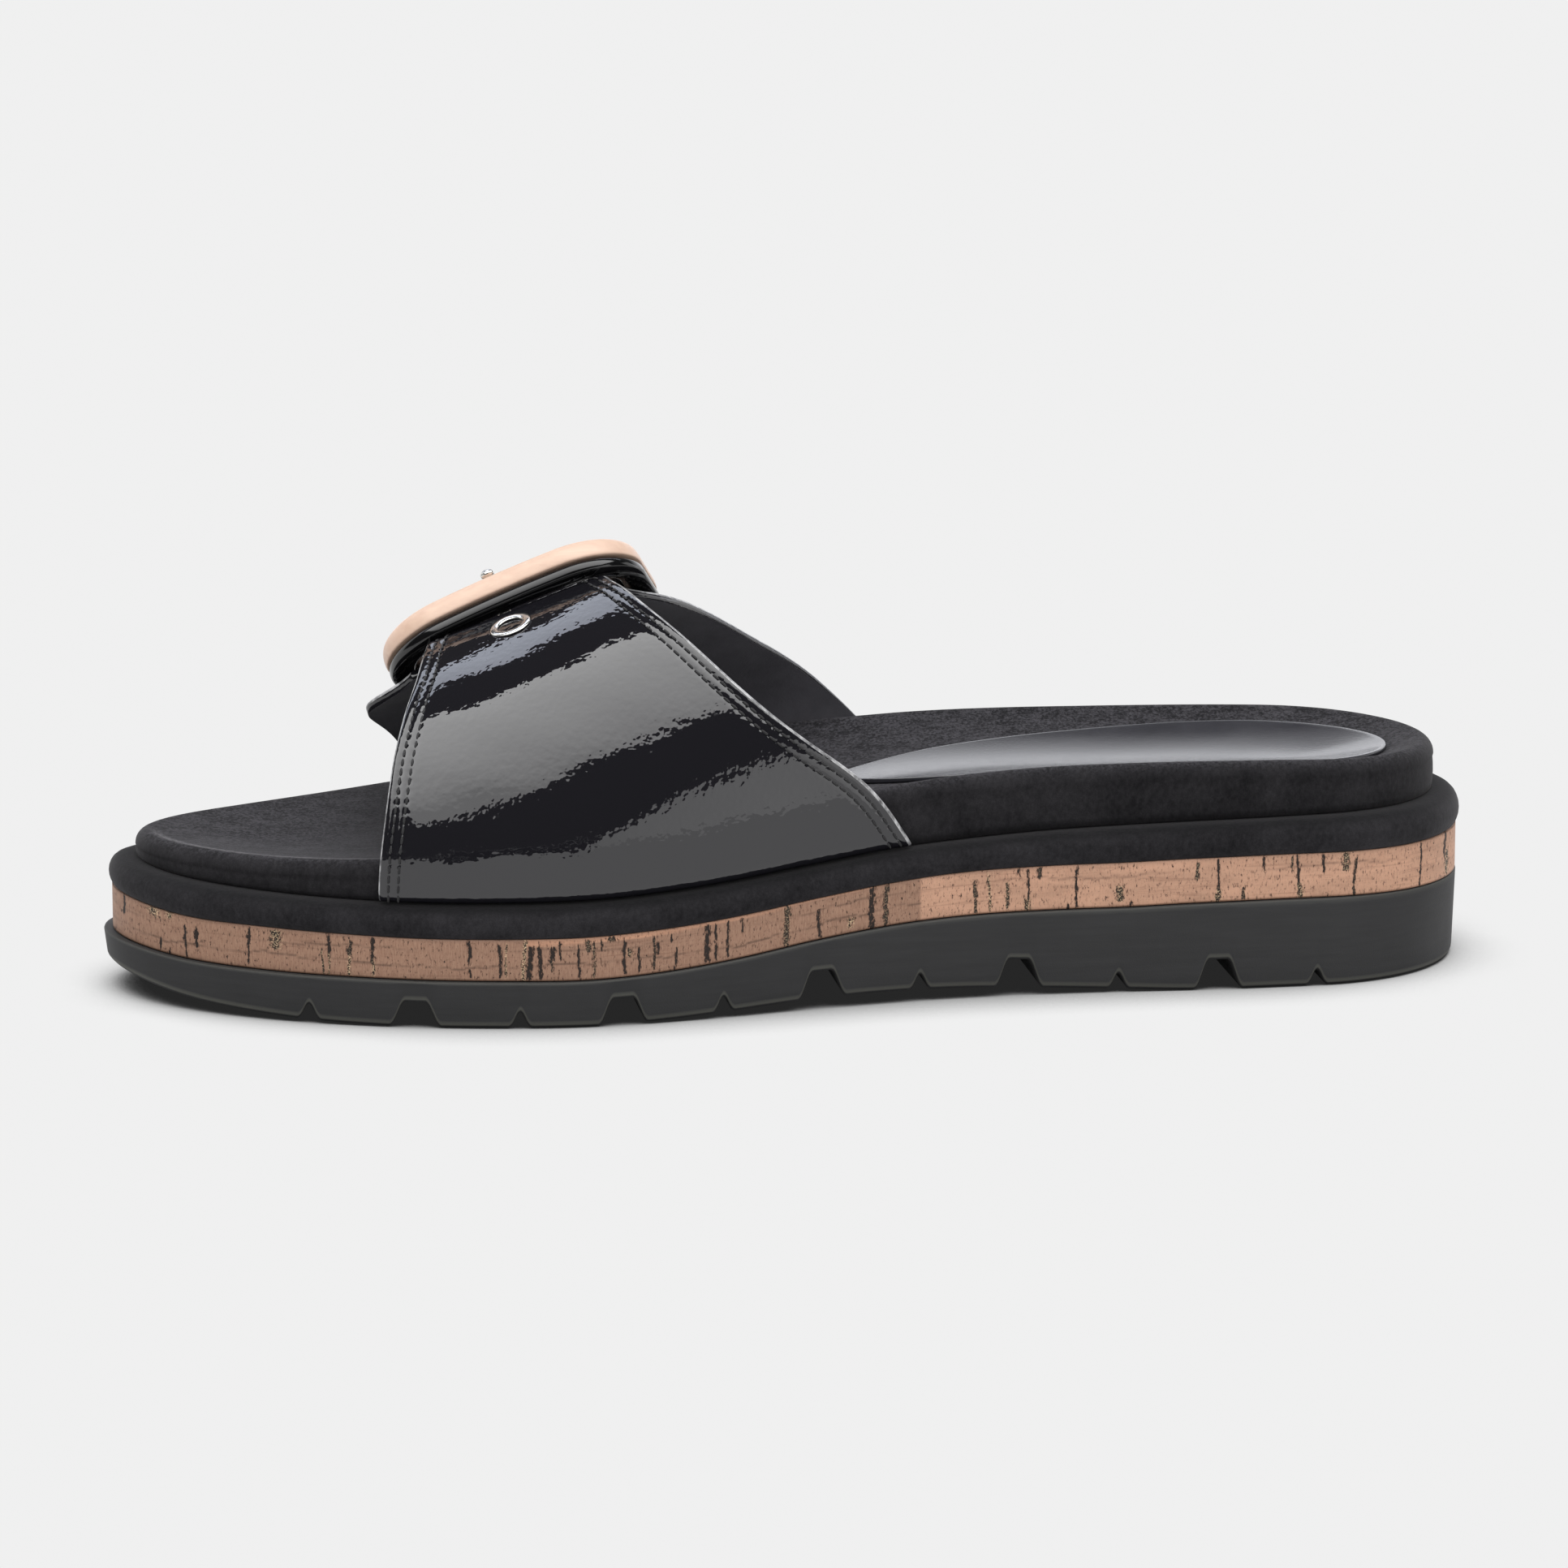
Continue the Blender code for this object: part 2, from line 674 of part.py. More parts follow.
def main():
    for item in list(bpy.data.objects):
        bpy.data.objects.remove(item, do_unlink=True)
    mule = bpy.data.collections.new("mule")
    bpy.context.scene.collection.children.link(mule)
    build_outsole(mule)
    build_cork_band(mule)
    build_platform_wrap(mule)
    build_footbed(mule)
    build_heel_pad(mule)
    build_upper(mule)
    build_buckle_ring("buckle_base", BASE_SECTION, "black_gloss", mule)
    build_buckle_ring("buckle_face", FACE_SECTION, "beige_gloss", mule)
    build_prong(mule)
    build_eyelet(mule)


main()
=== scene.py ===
import math

import bpy
import numpy as np
from mathutils import Matrix, Vector


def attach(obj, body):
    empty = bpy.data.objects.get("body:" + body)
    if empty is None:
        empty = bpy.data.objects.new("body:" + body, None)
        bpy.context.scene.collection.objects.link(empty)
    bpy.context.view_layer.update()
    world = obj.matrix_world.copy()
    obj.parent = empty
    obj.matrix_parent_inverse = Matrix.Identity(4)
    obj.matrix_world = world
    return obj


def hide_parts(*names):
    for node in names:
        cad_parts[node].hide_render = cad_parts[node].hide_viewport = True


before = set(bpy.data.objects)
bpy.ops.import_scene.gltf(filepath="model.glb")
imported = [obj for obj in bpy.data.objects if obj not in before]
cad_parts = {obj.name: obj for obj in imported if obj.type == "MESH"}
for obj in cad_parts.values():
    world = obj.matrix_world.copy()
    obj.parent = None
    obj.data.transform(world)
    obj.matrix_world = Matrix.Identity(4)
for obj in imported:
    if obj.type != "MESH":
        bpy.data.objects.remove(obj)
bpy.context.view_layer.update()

# Sizes are millimetres, in the tables of the part: X toe to heel, -Y inner side, z = 0 the floor
MM = 0.001
FRAME_SHIFT = np.array((0.6, 0.97, 0.0))  # from the tables to the part's frame

LENGTH = 264.0
OUTLINE = (
    # share from toe, inner fullness, outer fullness
    (0.00, 56.0, 50.0),
    (0.08, 56.0, 50.0),
    (0.15, 56.0, 50.0),
    (0.25, 54.8, 49.6),
    (0.33, 52.6, 49.4),
    (0.40, 48.2, 48.5),
    (0.50, 41.4, 46.0),
    (0.60, 37.4, 43.6),
    (0.70, 38.4, 42.0),
    (0.80, 44.8, 45.0),
    (0.85, 49.7, 49.7),
    (0.90, 57.0, 57.0),
    (0.95, 63.4, 63.4),
    (1.00, 68.5, 68.5),
)
LEVELS = (
    # x, sole lift, rubber top, cork top, ledge, footbed rim, cup depth
    (-132.0, 5.2, 11.1, 19.6, 25.6, 30.3, 1.0),
    (-120.0, 2.6, 9.9, 18.0, 24.3, 30.0, 1.8),
    (-105.0, 1.0, 9.4, 17.6, 23.5, 29.8, 2.6),
    (-88.0, 0.2, 9.2, 17.2, 23.0, 30.3, 3.2),
    (-75.0, 0.0, 9.05, 16.9, 22.8, 31.2, 3.8),
    (-60.0, 0.0, 9.0, 16.9, 22.9, 32.6, 4.4),
    (-45.0, 0.0, 9.0, 17.1, 23.2, 34.2, 4.8),
    (-30.0, 0.4, 9.8, 17.9, 24.0, 36.0, 5.0),
    (-15.0, 1.2, 11.4, 19.4, 25.4, 37.8, 5.2),
    (0.0, 2.0, 13.6, 21.5, 27.2, 39.4, 5.3),
    (15.0, 2.2, 15.3, 23.4, 29.0, 40.9, 5.5),
    (30.0, 1.9, 16.2, 24.6, 30.1, 42.2, 5.7),
    (45.0, 1.2, 16.5, 25.0, 31.0, 43.0, 6.0),
    (60.0, 0.5, 16.6, 25.2, 31.6, 43.3, 6.2),
    (72.0, 0.0, 17.0, 25.6, 32.0, 43.4, 6.3),
    (90.0, 0.0, 17.3, 25.9, 32.4, 43.2, 6.3),
    (105.0, 0.0, 17.3, 25.9, 32.7, 42.8, 6.2),
    (120.0, 0.0, 17.0, 25.8, 32.7, 42.4, 5.6),
    (132.0, 0.0, 16.8, 25.8, 32.7, 42.2, 4.5),
)
LIFT, RUBBER_TOP, CORK_TOP, LEDGE, RIM, CUP_DEPTH = range(1, 7)

# Outsole
SOLE_POINTS = 2400
GROOVE_COUNT = 11
GROOVE_START = -96.7
GROOVE_PITCH = 19.42
SMALL_MOUTH = 3.4
SMALL_FLOOR = 0.5
SMALL_DEPTH = 3.2
WIDE_MOUTH = 8.6
WIDE_FLOOR = 4.6
WIDE_DEPTH_TOE = 4.6
WIDE_DEPTH_HEEL = 5.9
GROOVE_ROUND = 0.5
SOLE_EDGE = 1.6
SOLE_FLARE = -0.5
SOLE_SHIFT = -0.8
# share of the lighter grey line on each ring of the rounded bottom edge
SOLE_EDGE_PALE = (0.0, 0.0, 0.0, 0.0, 1.0, 0.6, 0.0)
SOLE_WALL = (0.08, 0.2, 0.36, 0.54, 0.72, 0.86, 0.95)
SOLE_BRIM = (
    # inset, drop below the rubber's top, share of the lighter grey line
    (SOLE_FLARE, 0.35, 0.3),
    (SOLE_FLARE + 0.1, 0.1, 0.5),
    (SOLE_FLARE + 0.4, 0.0, 0.2),
    (2.5, 0.0, 0.0),
)

# Layers above the rubber
GAP = 0.3
CORK_INSET = 0.4
CORK_POINTS = 3200
CORK_ROWS = 23
CORK_HEIGHT = 8.0
CORK_OVER_RUBBER = 0.2
CORK_OVER_TOP = 0.1
WRAP_OVER_TOP = 0.15
WRAP_POINTS = 900
WRAP_RINGS = (
    # inset, share of the height between cork and ledge
    (0.9, 0.00),
    (0.45, 0.05),
    (0.1, 0.16),
    (-0.12, 0.28),
    (-0.2, 0.42),
    (-0.1, 0.56),
    (0.2, 0.70),
    (0.6, 0.81),
    (1.2, 0.90),
    (2.0, 0.96),
    (3.0, 0.99),
    (4.2, 1.00),
    (6.0, 1.00),
)
FOOTBED_POINTS = 900
FOOTBED_INSET = 5.0
FOOTBED_SHOULDER = (2.6, 2.8)  # in, down
FOOTBED_WALL = (0.0, 0.2, 0.45, 0.7, 0.9)
FOOTBED_BULGE = 0.25
SHOULDER_RINGS = 9
SHOULDER_END = 82.0
STRAP_SHADE_SPAN = (-72.0, 16.0)  # painted shade on the footbed's top next to and under the strap's front: centre and half length, in x
STRAP_SHADE_DEPTH = 0.65
RIM_HIGHLIGHT = (0.03, 0.03)  # painted highlight, a light line along the cup's rim at the toe: centre and half width, as shares in from the rim
CUP_POWER = 2.2
SPINE_SQUEEZE = 0.72
PAD_THICKNESS = 0.8
PAD_SEAT = GAP * 0.4
PAD_POINTS = 700
PAD_SPINE = 0.97
PAD_ROLL = (
    # share in from the pad's edge, share of the rise to its top
    (0.0, 0.45),
    (0.004, 0.75),
    (0.015, 0.93),
    (0.03, 1.0),
)
PAD_EDGE = (
    # share from toe, share in from the rim
    (0.545, 0.95),
    (0.575, 0.80),
    (0.62, 0.62),
    (0.68, 0.46),
    (0.75, 0.33),
    (0.82, 0.25),
    (0.90, 0.22),
    (0.95, 0.22),
    (1.00, 0.22),
)

# Strap
STRAP_INSET = 2.3
STRAP_WALL = 2.0
INSTEP = (
    # x, crest height of the foot surface
    (-92.0, 60.0),
    (-74.0, 66.0),
    (-57.0, 72.0),
    (-39.0, 78.2),
    (-29.0, 80.5),
    (-18.0, 82.5),
    (-3.0, 85.0),
    (28.0, 89.0),
)
STRAP = (
    # across (- inner, + outer), height share at front, at rear, front x, tail front x, tail rear x, rear x
    (-1.000, 0.000, 0.000, -83.8, -66.0, -24.0, 19.0),
    (-1.015, 0.120, 0.120, -83.8, -67.0, -26.0, 14.8),
    (-1.010, 0.250, 0.250, -83.3, -68.0, -28.0, 9.5),
    (-0.950, 0.450, 0.450, -82.0, -69.0, -32.0, -4.0),
    (-0.830, 0.650, 0.650, -80.2, -69.5, -36.0, -15.6),
    (-0.660, 0.820, 0.820, -77.4, -69.5, -38.5, -24.6),
    (-0.450, 0.916, 0.930, -74.2, -69.5, -40.0, -31.4),
    (-0.240, 0.966, 0.990, -72.6, -69.4, -40.2, -34.8),
    (-0.140, 0.980, 1.002, -72.2, -69.2, -40.4, -34.8),
    (-0.050, 0.894, 0.945, -72.2, -69.0, -40.6, -34.8),
    (0.080, 0.765, 0.862, -78.3, -68.6, -40.6, -26.0),
    (0.200, 0.728, 0.818, -83.2, -68.2, -40.0, -21.6),
    (0.450, 0.545, 0.712, -77.0, -67.0, -38.5, -13.8),
    (0.680, 0.390, 0.552, -73.3, -66.0, -34.0, -2.8),
    (0.870, 0.300, 0.410, -72.0, -63.0, -28.0, 7.2),
    (0.980, 0.200, 0.250, -71.5, -60.0, -22.0, 16.0),
    (1.000, 0.100, 0.110, -71.5, -58.0, -18.0, 23.0),
    (1.000, 0.000, 0.000, -71.5, -57.0, -16.0, 27.0),
)
ACROSS, FRONT_HEIGHT, REAR_HEIGHT, FRONT, TAIL_FRONT, TAIL_REAR, REAR = range(1, 8)
TAIL_RAISE = 1.2
TAIL_WALL = TAIL_RAISE * 0.95

# Strap panels: places along the strap are rows of its table
INNER_ROWS = (0.0, 11.9)
INNER_SEWN = (0.0, 0.08, 11.6, 11.7)
OUTER_ROWS = (9.35, len(STRAP) - 1.0)
OUTER_SEWN = (9.8, 9.9, 16.9, 17.0)
NARROW_ACROSS = (-0.30, 0.04)
OVER_ACROSS = (-0.07, 0.06)
TIP_ROWS = (11.2, 11.95)
TIP_ROUND = 0.72
ROW_STEP = 0.42
SOFT_ROWS = 9.0
CREST_SOFT_ROWS = 3.0
CREST_ROWS = (6.8, 7.6, 9.2, 10.0)
EDGE_STEPS = (0.0, 0.08, 0.2, 0.4, 0.7, 1.1, 1.5, 1.75, 2.0, 2.25, 2.6, 3.0, 3.4, 3.65, 3.9, 4.15, 4.5, 5.0, 5.6)
EDGE_SHARE = 0.46
MIDDLE_COLUMNS = 72
# lanes at the front and rear edges of the skin that carry the painted highlight
HIGHLIGHT_LANES = (3, 4)
EDGE_ROUND = 0.7
END_TUCK = 3.2
SEAM_PLACES = (2.0, 3.9)
SEAM_DEPTH = 0.16
SEAM_HALF = 0.35
SEAM_RIDGES = ((1.1, 0.10), (2.95, 0.06))
RIDGE_HALF = 0.5
RIPPLE = 0.05
STITCH_PITCH = 1.9
STITCH_LENGTH = 1.5
STITCH_WIDTH = 0.5
STITCH_RISE = 0.10
STITCH_RINGS = 7
STITCH_SIDES = 8

# Buckle
BUCKLE_CENTRE = (-50.2, 10.4, 63.7)
BUCKLE_PITCH = 20.2
BUCKLE_TILT = 32.8
BUCKLE_YAW = -6.4
BUCKLE_LENGTH = 53.3
BUCKLE_WIDTH = 42.6
BUCKLE_CORNER = 14.0
BUCKLE_ARCH = 1.1
CORNER_POINTS = 33
SIDE_STEPS = 12
BASE_SECTION = (
    # inset from the outer edge, height
    (0.6, 0.0),
    (0.0, 0.5),
    (0.0, 2.0),
    (0.8, 2.7),
    (4.6, 2.7),
    (5.2, 2.1),
    (5.2, 0.5),
    (4.6, 0.0),
)
FACE_SECTION = (
    # inset from the outer edge, height
    (0.5, 3.0),
    (0.15, 3.0),
    (-0.05, 3.2),
    (-0.1, 3.7),
    (-0.1, 4.6),
    (0.2, 5.9),
    (0.9, 6.7),
    (1.9, 7.0),
    (3.4, 7.0),
    (4.5, 6.6),
    (5.1, 5.6),
    (5.1, 3.5),
    (4.6, 3.0),
)
PRONG_PATH = (
    # along, across, height over the buckle's underside
    (-2.4, -12.5, -0.9),
    (-2.4, -13.6, 2.0),
    (-2.4, -14.6, 5.0),
    (-2.4, -15.6, 7.6),
    (-2.4, -17.0, 8.3),
    (-2.4, -18.6, 8.3),
)
PRONG_RADIUS = 0.9
PRONG_FLAT = 1.5
PRONG_ASIDE = 1.3
PRONG_TIP = (4.4, 5.0)  # rows of the path over which the end is rounded
PRONG_RINGS = 60
PRONG_SIDES = 24
FOLD_ACROSS = -1.0
FOLD_RISE = 3.1
FOLD_LONG = 43.0
FOLD_WIDE = 8.0
FOLD_HIGH = 6.8
FOLD_RINGS = 61
FOLD_SIDES = 32
EYELET_ACROSS = -0.30
EYELET_X = -55.6
EYELET_SIDES = 64
EYELET_SECTION = (
    # radius, height over the strap
    (2.45, 0.00),
    (4.15, 0.00),
    (4.15, 0.28),
    (3.75, 0.48),
    (2.95, 0.48),
    (2.45, 0.28),
)

# Marks of the cork sheet on the inner side
CORK_JOINTS = (-57.1, 19.8)
CORK_SEED = 7
CORK_MARK_WIDTH = 0.62
CORK_CRACK = 0.02
CORK_MARKS = (
    # x, top share, bottom share, width, gold share
    (-129.9, 0.98, 0.55, 0.5, 0.0),
    (-124.5, 1.00, 0.82, 2.6, 0.8),
    (-122.0, 1.00, 0.86, 1.6, 0.7),
    (-123.4, 0.34, 0.02, 0.5, 0.0),
    (-121.7, 0.14, 0.00, 0.6, 0.0),
    (-118.9, 0.78, 0.02, 0.6, 0.0),
    (-116.9, 0.80, 0.30, 1.0, 0.0),
    (-107.6, 0.95, 0.55, 0.9, 0.0),
    (-107.6, 0.60, 0.10, 0.5, 0.0),
    (-102.8, 0.96, 0.52, 2.8, 0.6),
    (-94.2, 0.60, 0.02, 0.5, 0.5),
    (-93.0, 0.98, 0.45, 0.9, 0.0),
    (-93.0, 0.50, 0.02, 0.5, 0.7),
    (-89.2, 0.86, 0.50, 1.2, 0.1),
    (-89.2, 0.52, 0.04, 0.8, 0.8),
    (-85.0, 0.98, 0.38, 1.0, 0.0),
    (-85.0, 0.42, 0.02, 0.8, 0.7),
    (-67.2, 0.98, 0.55, 0.9, 0.0),
    (-67.2, 0.58, 0.02, 0.5, 0.0),
    (-61.6, 0.90, 0.10, 0.9, 0.0),
    (-60.4, 0.90, 0.04, 0.5, 0.8),
    (-57.1, 1.00, 0.00, 0.9, 1.0),
    (-56.0, 0.84, 0.02, 1.5, 0.0),
    (-54.1, 0.82, 0.04, 1.1, 0.0),
    (-51.9, 0.80, 0.44, 1.4, 0.0),
    (-51.8, 0.50, 0.20, 0.6, 0.2),
    (-50.3, 0.94, 0.50, 0.6, 0.0),
    (-46.8, 0.84, 0.03, 0.7, 0.0),
    (-45.0, 0.94, 0.68, 1.5, 0.3),
    (-44.0, 0.86, 0.02, 0.7, 0.3),
    (-42.6, 0.88, 0.66, 0.6, 0.0),
    (-40.6, 0.99, 0.88, 2.4, 0.2),
    (-38.2, 0.84, 0.06, 0.9, 0.0),
    (-37.1, 0.66, 0.48, 1.6, 0.4),
    (-35.5, 0.66, 0.06, 0.6, 0.0),
    (-32.5, 0.90, 0.04, 0.7, 0.1),
    (-31.8, 0.74, 0.46, 0.8, 0.0),
    (-29.1, 0.90, 0.66, 0.5, 0.0),
    (-28.3, 0.50, 0.02, 0.6, 0.0),
    (-22.2, 0.94, 0.06, 1.5, 0.0),
    (-20.5, 0.92, 0.04, 0.7, 0.0),
    (-18.2, 0.94, 0.06, 0.7, 0.0),
    (-15.4, 0.96, 0.60, 0.4, 0.0),
    (-6.6, 0.98, 0.02, 1.7, 0.3),
    (-0.2, 0.74, 0.04, 0.8, 0.0),
    (6.0, 0.34, 0.14, 1.6, 0.9),
    (10.2, 1.00, 0.00, 1.5, 0.0),
    (13.0, 0.98, 0.00, 1.4, 0.2),
    (30.5, 0.78, 0.02, 1.1, 0.2),
    (33.3, 0.92, 0.06, 0.8, 0.7),
    (36.8, 0.68, 0.06, 1.0, 0.4),
    (39.0, 0.98, 0.84, 0.9, 0.0),
    (40.9, 0.96, 0.24, 0.6, 0.0),
    (40.9, 0.28, 0.00, 1.8, 0.5),
    (43.1, 0.99, 0.76, 1.2, 0.1),
    (49.0, 0.10, 0.00, 0.9, 0.0),
    (50.3, 0.96, 0.02, 0.7, 0.0),
    (58.7, 0.50, 0.12, 2.0, 0.5),
    (60.8, 0.10, 0.00, 0.8, 0.0),
    (73.7, 0.94, 0.50, 1.0, 0.3),
    (77.8, 0.98, 0.20, 0.7, 0.0),
    (77.8, 0.28, 0.00, 2.0, 0.6),
    (82.7, 0.30, 0.04, 1.2, 0.2),
    (86.8, 0.99, 0.70, 0.8, 0.0),
    (92.4, 0.98, 0.60, 0.6, 0.2),
    (93.4, 0.98, 0.20, 0.8, 0.0),
    (93.8, 0.30, 0.02, 1.8, 0.6),
    (98.5, 0.99, 0.58, 0.7, 0.0),
    (103.0, 1.00, 0.58, 2.2, 0.5),
    (104.8, 0.84, 0.00, 0.8, 0.1),
    (119.4, 0.98, 0.00, 0.6, 0.0),
    (125.9, 1.00, 0.50, 1.0, 0.0),
    (126.7, 0.60, 0.06, 1.6, 0.6),
)

# Suede, as dark and light colours. The top colours are painted light and shade laid over the sides' colours: painted
# light on the footbed's top, painted shade on the wrap's ledge
WRAP_SIDE = ((0.0095, 0.0090, 0.0105), (0.0330, 0.0315, 0.0350))
WRAP_SHADED_TOP = ((0.005, 0.005, 0.006), (0.012, 0.0115, 0.013))
FOOTBED_SIDE = ((0.0090, 0.0086, 0.0100), (0.0320, 0.0305, 0.0335))
FOOTBED_LIT_TOP = ((0.006, 0.0057, 0.0074), (0.066, 0.0630, 0.0720))
# colour of the painted highlight along the cup's rim
RIM_HIGHLIGHT_COLOUR = (0.190, 0.184, 0.196)

# Studio, in metres
BACKDROP = 0.87
SKY_ABOVE = 2.05
SKY_FRONT = 0.6
SKY_IN_GLOSS = 0.04
FLOOR_REACH = 60.0
SHADE_REACH = 0.035
COOL = (0.95, 0.96, 1.0)
CARD_HEIGHT = 1.2
CARD_MIDDLE = (-0.03, -0.03)
CARD_SIDE = -0.43
CARD_TOP = (
    # x and y from the middle, as shares of the height
    (-1.25, 0.01),
    (-1.25, -2.5),
    (-0.96, -2.27),
    (-0.65, -1.89),
    (-0.25, -1.42),
    (0.0, -1.36),
    (0.3, -1.2),
    (0.67, -0.98),
    (0.95, -0.85),
    (0.95, 0.1),
    (-0.1, 0.08),
    (-0.36, 0.0),
)

# Camera: angles in degrees, distance and offsets in metres
CAMERA_AZIMUTH = -8.0
CAMERA_ELEVATION = 11.7
CAMERA_DISTANCE = 1.350
CAMERA_UP = 0.03479
CAMERA_RIGHT = -0.000713
CAMERA_LENS = 158.73
CAMERA_SENSOR = 36.0


# Curves, rings and faces


def column(table, index, x):
    """Smooth curve through one column of a table whose first column is the station."""
    keys = np.array([row[0] for row in table])
    values = np.array([row[index] for row in table])
    slopes = np.gradient(values, keys)
    x = np.clip(x, keys[0], keys[-1])
    i = np.clip(np.searchsorted(keys, x) - 1, 0, len(keys) - 2)
    step = keys[i + 1] - keys[i]
    t = (x - keys[i]) / step
    rise = t * t * (3.0 - 2.0 * t)
    bend = t * (1.0 - t) * ((1.0 - t) * slopes[i] - t * slopes[i + 1]) * step
    return values[i] + (values[i + 1] - values[i]) * rise + bend


def numbered(table):
    """Table with the row's number as its first column."""
    return [(i, *row) for i, row in enumerate(table)]


def level(index, x):
    return column(LEVELS, index, x)


def ease(low, high, x):
    """Smooth step from 0 at low to 1 at high."""
    t = np.clip((x - low) / (high - low), 0.0, 1.0)
    return t * t * (3.0 - 2.0 * t)


def window(stations, x):
    """Smooth rise over the first two of four stations and fall over the last two."""
    start, full, ending, end = stations
    return ease(start, full, x) * (1.0 - ease(ending, end, x))


def bell(x, centre, half):
    return np.exp(-((x - centre) / half) ** 2)


def unit(vectors):
    return vectors / np.linalg.norm(vectors, axis=-1, keepdims=True)


def run_along(line):
    """Length from the start of a line to each of its points."""
    return np.concatenate(((0.0,), np.cumsum(np.linalg.norm(np.diff(line, axis=0), axis=1))))


def at(place, run, line):
    """Point of a line at a length from its start."""
    return np.array([np.interp(place, run, values) for values in line.T])


def half_widths(x):
    share = np.clip((x + LENGTH / 2.0) / LENGTH, 0.0, 1.0)
    run = np.sqrt(1.0 - (1.0 - 2.0 * share) ** 2)
    return column(OUTLINE, 1, share) * run, column(OUTLINE, 2, share) * run


def turn(count):
    return np.linspace(0.0, 2.0 * math.pi, count, endpoint=False)


def ring(angles, inset):
    """Outline at angles from the toe, inner side first, moved in along its normals."""
    share = (1.0 - np.cos(angles)) / 2.0
    full = np.where(angles < math.pi, column(OUTLINE, 1, share), column(OUTLINE, 2, share))
    loop = np.column_stack((-LENGTH / 2.0 * np.cos(angles), -full * np.sin(angles)))
    slope = np.gradient(loop, angles, axis=0)
    slope[0] = (0.0, -1.0)  # straight across at the toe's tip
    slope[-1] = loop[0] - loop[-2]
    normal = unit(np.column_stack((slope[:, 1], -slope[:, 0])))
    return loop - normal * inset


def lifted(loop, heights):
    return np.column_stack((loop, np.broadcast_to(heights, len(loop))))


def wall_faces(rows, count, closed=True):
    """Faces between rows of points, each row a ring or an open line."""
    j = np.arange(count if closed else count - 1)
    k = (j + 1) % count
    low = np.arange(rows - 1)[:, None] * count
    return np.stack((low + j, low + k, low + count + k, low + count + j), axis=-1).reshape(-1, 4).tolist()


def torus_faces(rows, count):
    """Faces of rings whose last one joins the first."""
    return [tuple(i % (rows * count) for i in face) for face in wall_faces(rows + 1, count)]


def tube_faces(rows, count):
    """Faces of rings with a flat end at each side."""
    last = (rows - 1) * count
    return wall_faces(rows, count) + [tuple(range(count - 1, -1, -1)), tuple(range(last, last + count))]


def cap_faces(start, count):
    """Strips across a closed ring that begins at the toe's tip, facing up."""
    half = count // 2
    i = np.arange(1, half - 1)
    strips = np.stack((i, i + 1, count - i - 1, count - i), axis=-1) + start
    ends = [(start, start + 1, start + count - 1), (start + half - 1, start + half, start + half + 1)]
    return strips.tolist() + ends


def flipped(faces):
    return [tuple(reversed(face)) for face in faces]


def sole_solid(rings):
    """Points and faces of a closed solid through sole-shaped rings, lowest first."""
    count = len(rings[0])
    faces = wall_faces(len(rings), count)
    faces += flipped(cap_faces(0, count)) + cap_faces((len(rings) - 1) * count, count)
    return np.vstack(rings), faces


def piece(name, points, faces, looks, nodes=(), slot=None, face_looks=None, fields=None):
    """Object in the part's frame that rides on the root body and stands for CAD nodes."""
    mesh = bpy.data.meshes.new(name)
    mesh.from_pydata(((np.asarray(points) + FRAME_SHIFT) * MM).tolist(), [], faces)
    for look in looks:
        mesh.materials.append(look)
    if face_looks is not None:
        mesh.polygons.foreach_set("material_index", np.asarray(face_looks, np.int32))
    mesh.polygons.foreach_set("use_smooth", np.ones(len(mesh.polygons), bool))
    for field, values in (fields or {}).items():
        values = np.asarray(values, np.float32)
        kind, key = ("FLOAT_VECTOR", "vector") if values.ndim == 2 else ("FLOAT", "value")
        mesh.attributes.new(field, kind, "POINT").data.foreach_set(key, values.ravel())
    mesh.update()
    made = bpy.data.objects.new(name, mesh)
    bpy.context.scene.collection.objects.link(made)
    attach(made, "root")
    if nodes:
        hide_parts(*nodes)
    return made


# Looks


class Tree:
    """Node tree with short calls to add nodes."""

    def __init__(self, tree):
        self.tree = tree

    def plug(self, socket, value):
        """Link a socket to another node's output, or set its value."""
        if isinstance(value, bpy.types.NodeSocket):
            self.tree.links.new(value, socket)
        else:
            socket.default_value = value

    def node(self, kind, settings=None, **inputs):
        """Node whose inputs are given by name, or by index as i0, i1 and so on."""
        made = self.tree.nodes.new(kind)
        for key, value in (settings or {}).items():
            setattr(made, key, value)
        for key, value in inputs.items():
            by_index = key[0] == "i" and key[1:].isdigit()
            self.plug(made.inputs[int(key[1:]) if by_index else key.replace("_", " ")], value)
        return made

    def remap(self, value, low, high, to_low=0.0, to_high=1.0):
        made = self.node("ShaderNodeMapRange", Value=value, From_Min=low, From_Max=high, To_Min=to_low, To_Max=to_high)
        return made.outputs["Result"]

    def math(self, operation, a, b):
        return self.node("ShaderNodeMath", {"operation": operation}, i0=a, i1=b).outputs[0]

    def either(self, switch, off, on):
        """Number that a switch of 0 or 1 picks."""
        return self.node("ShaderNodeMix", i0=switch, i2=off, i3=on).outputs[0]


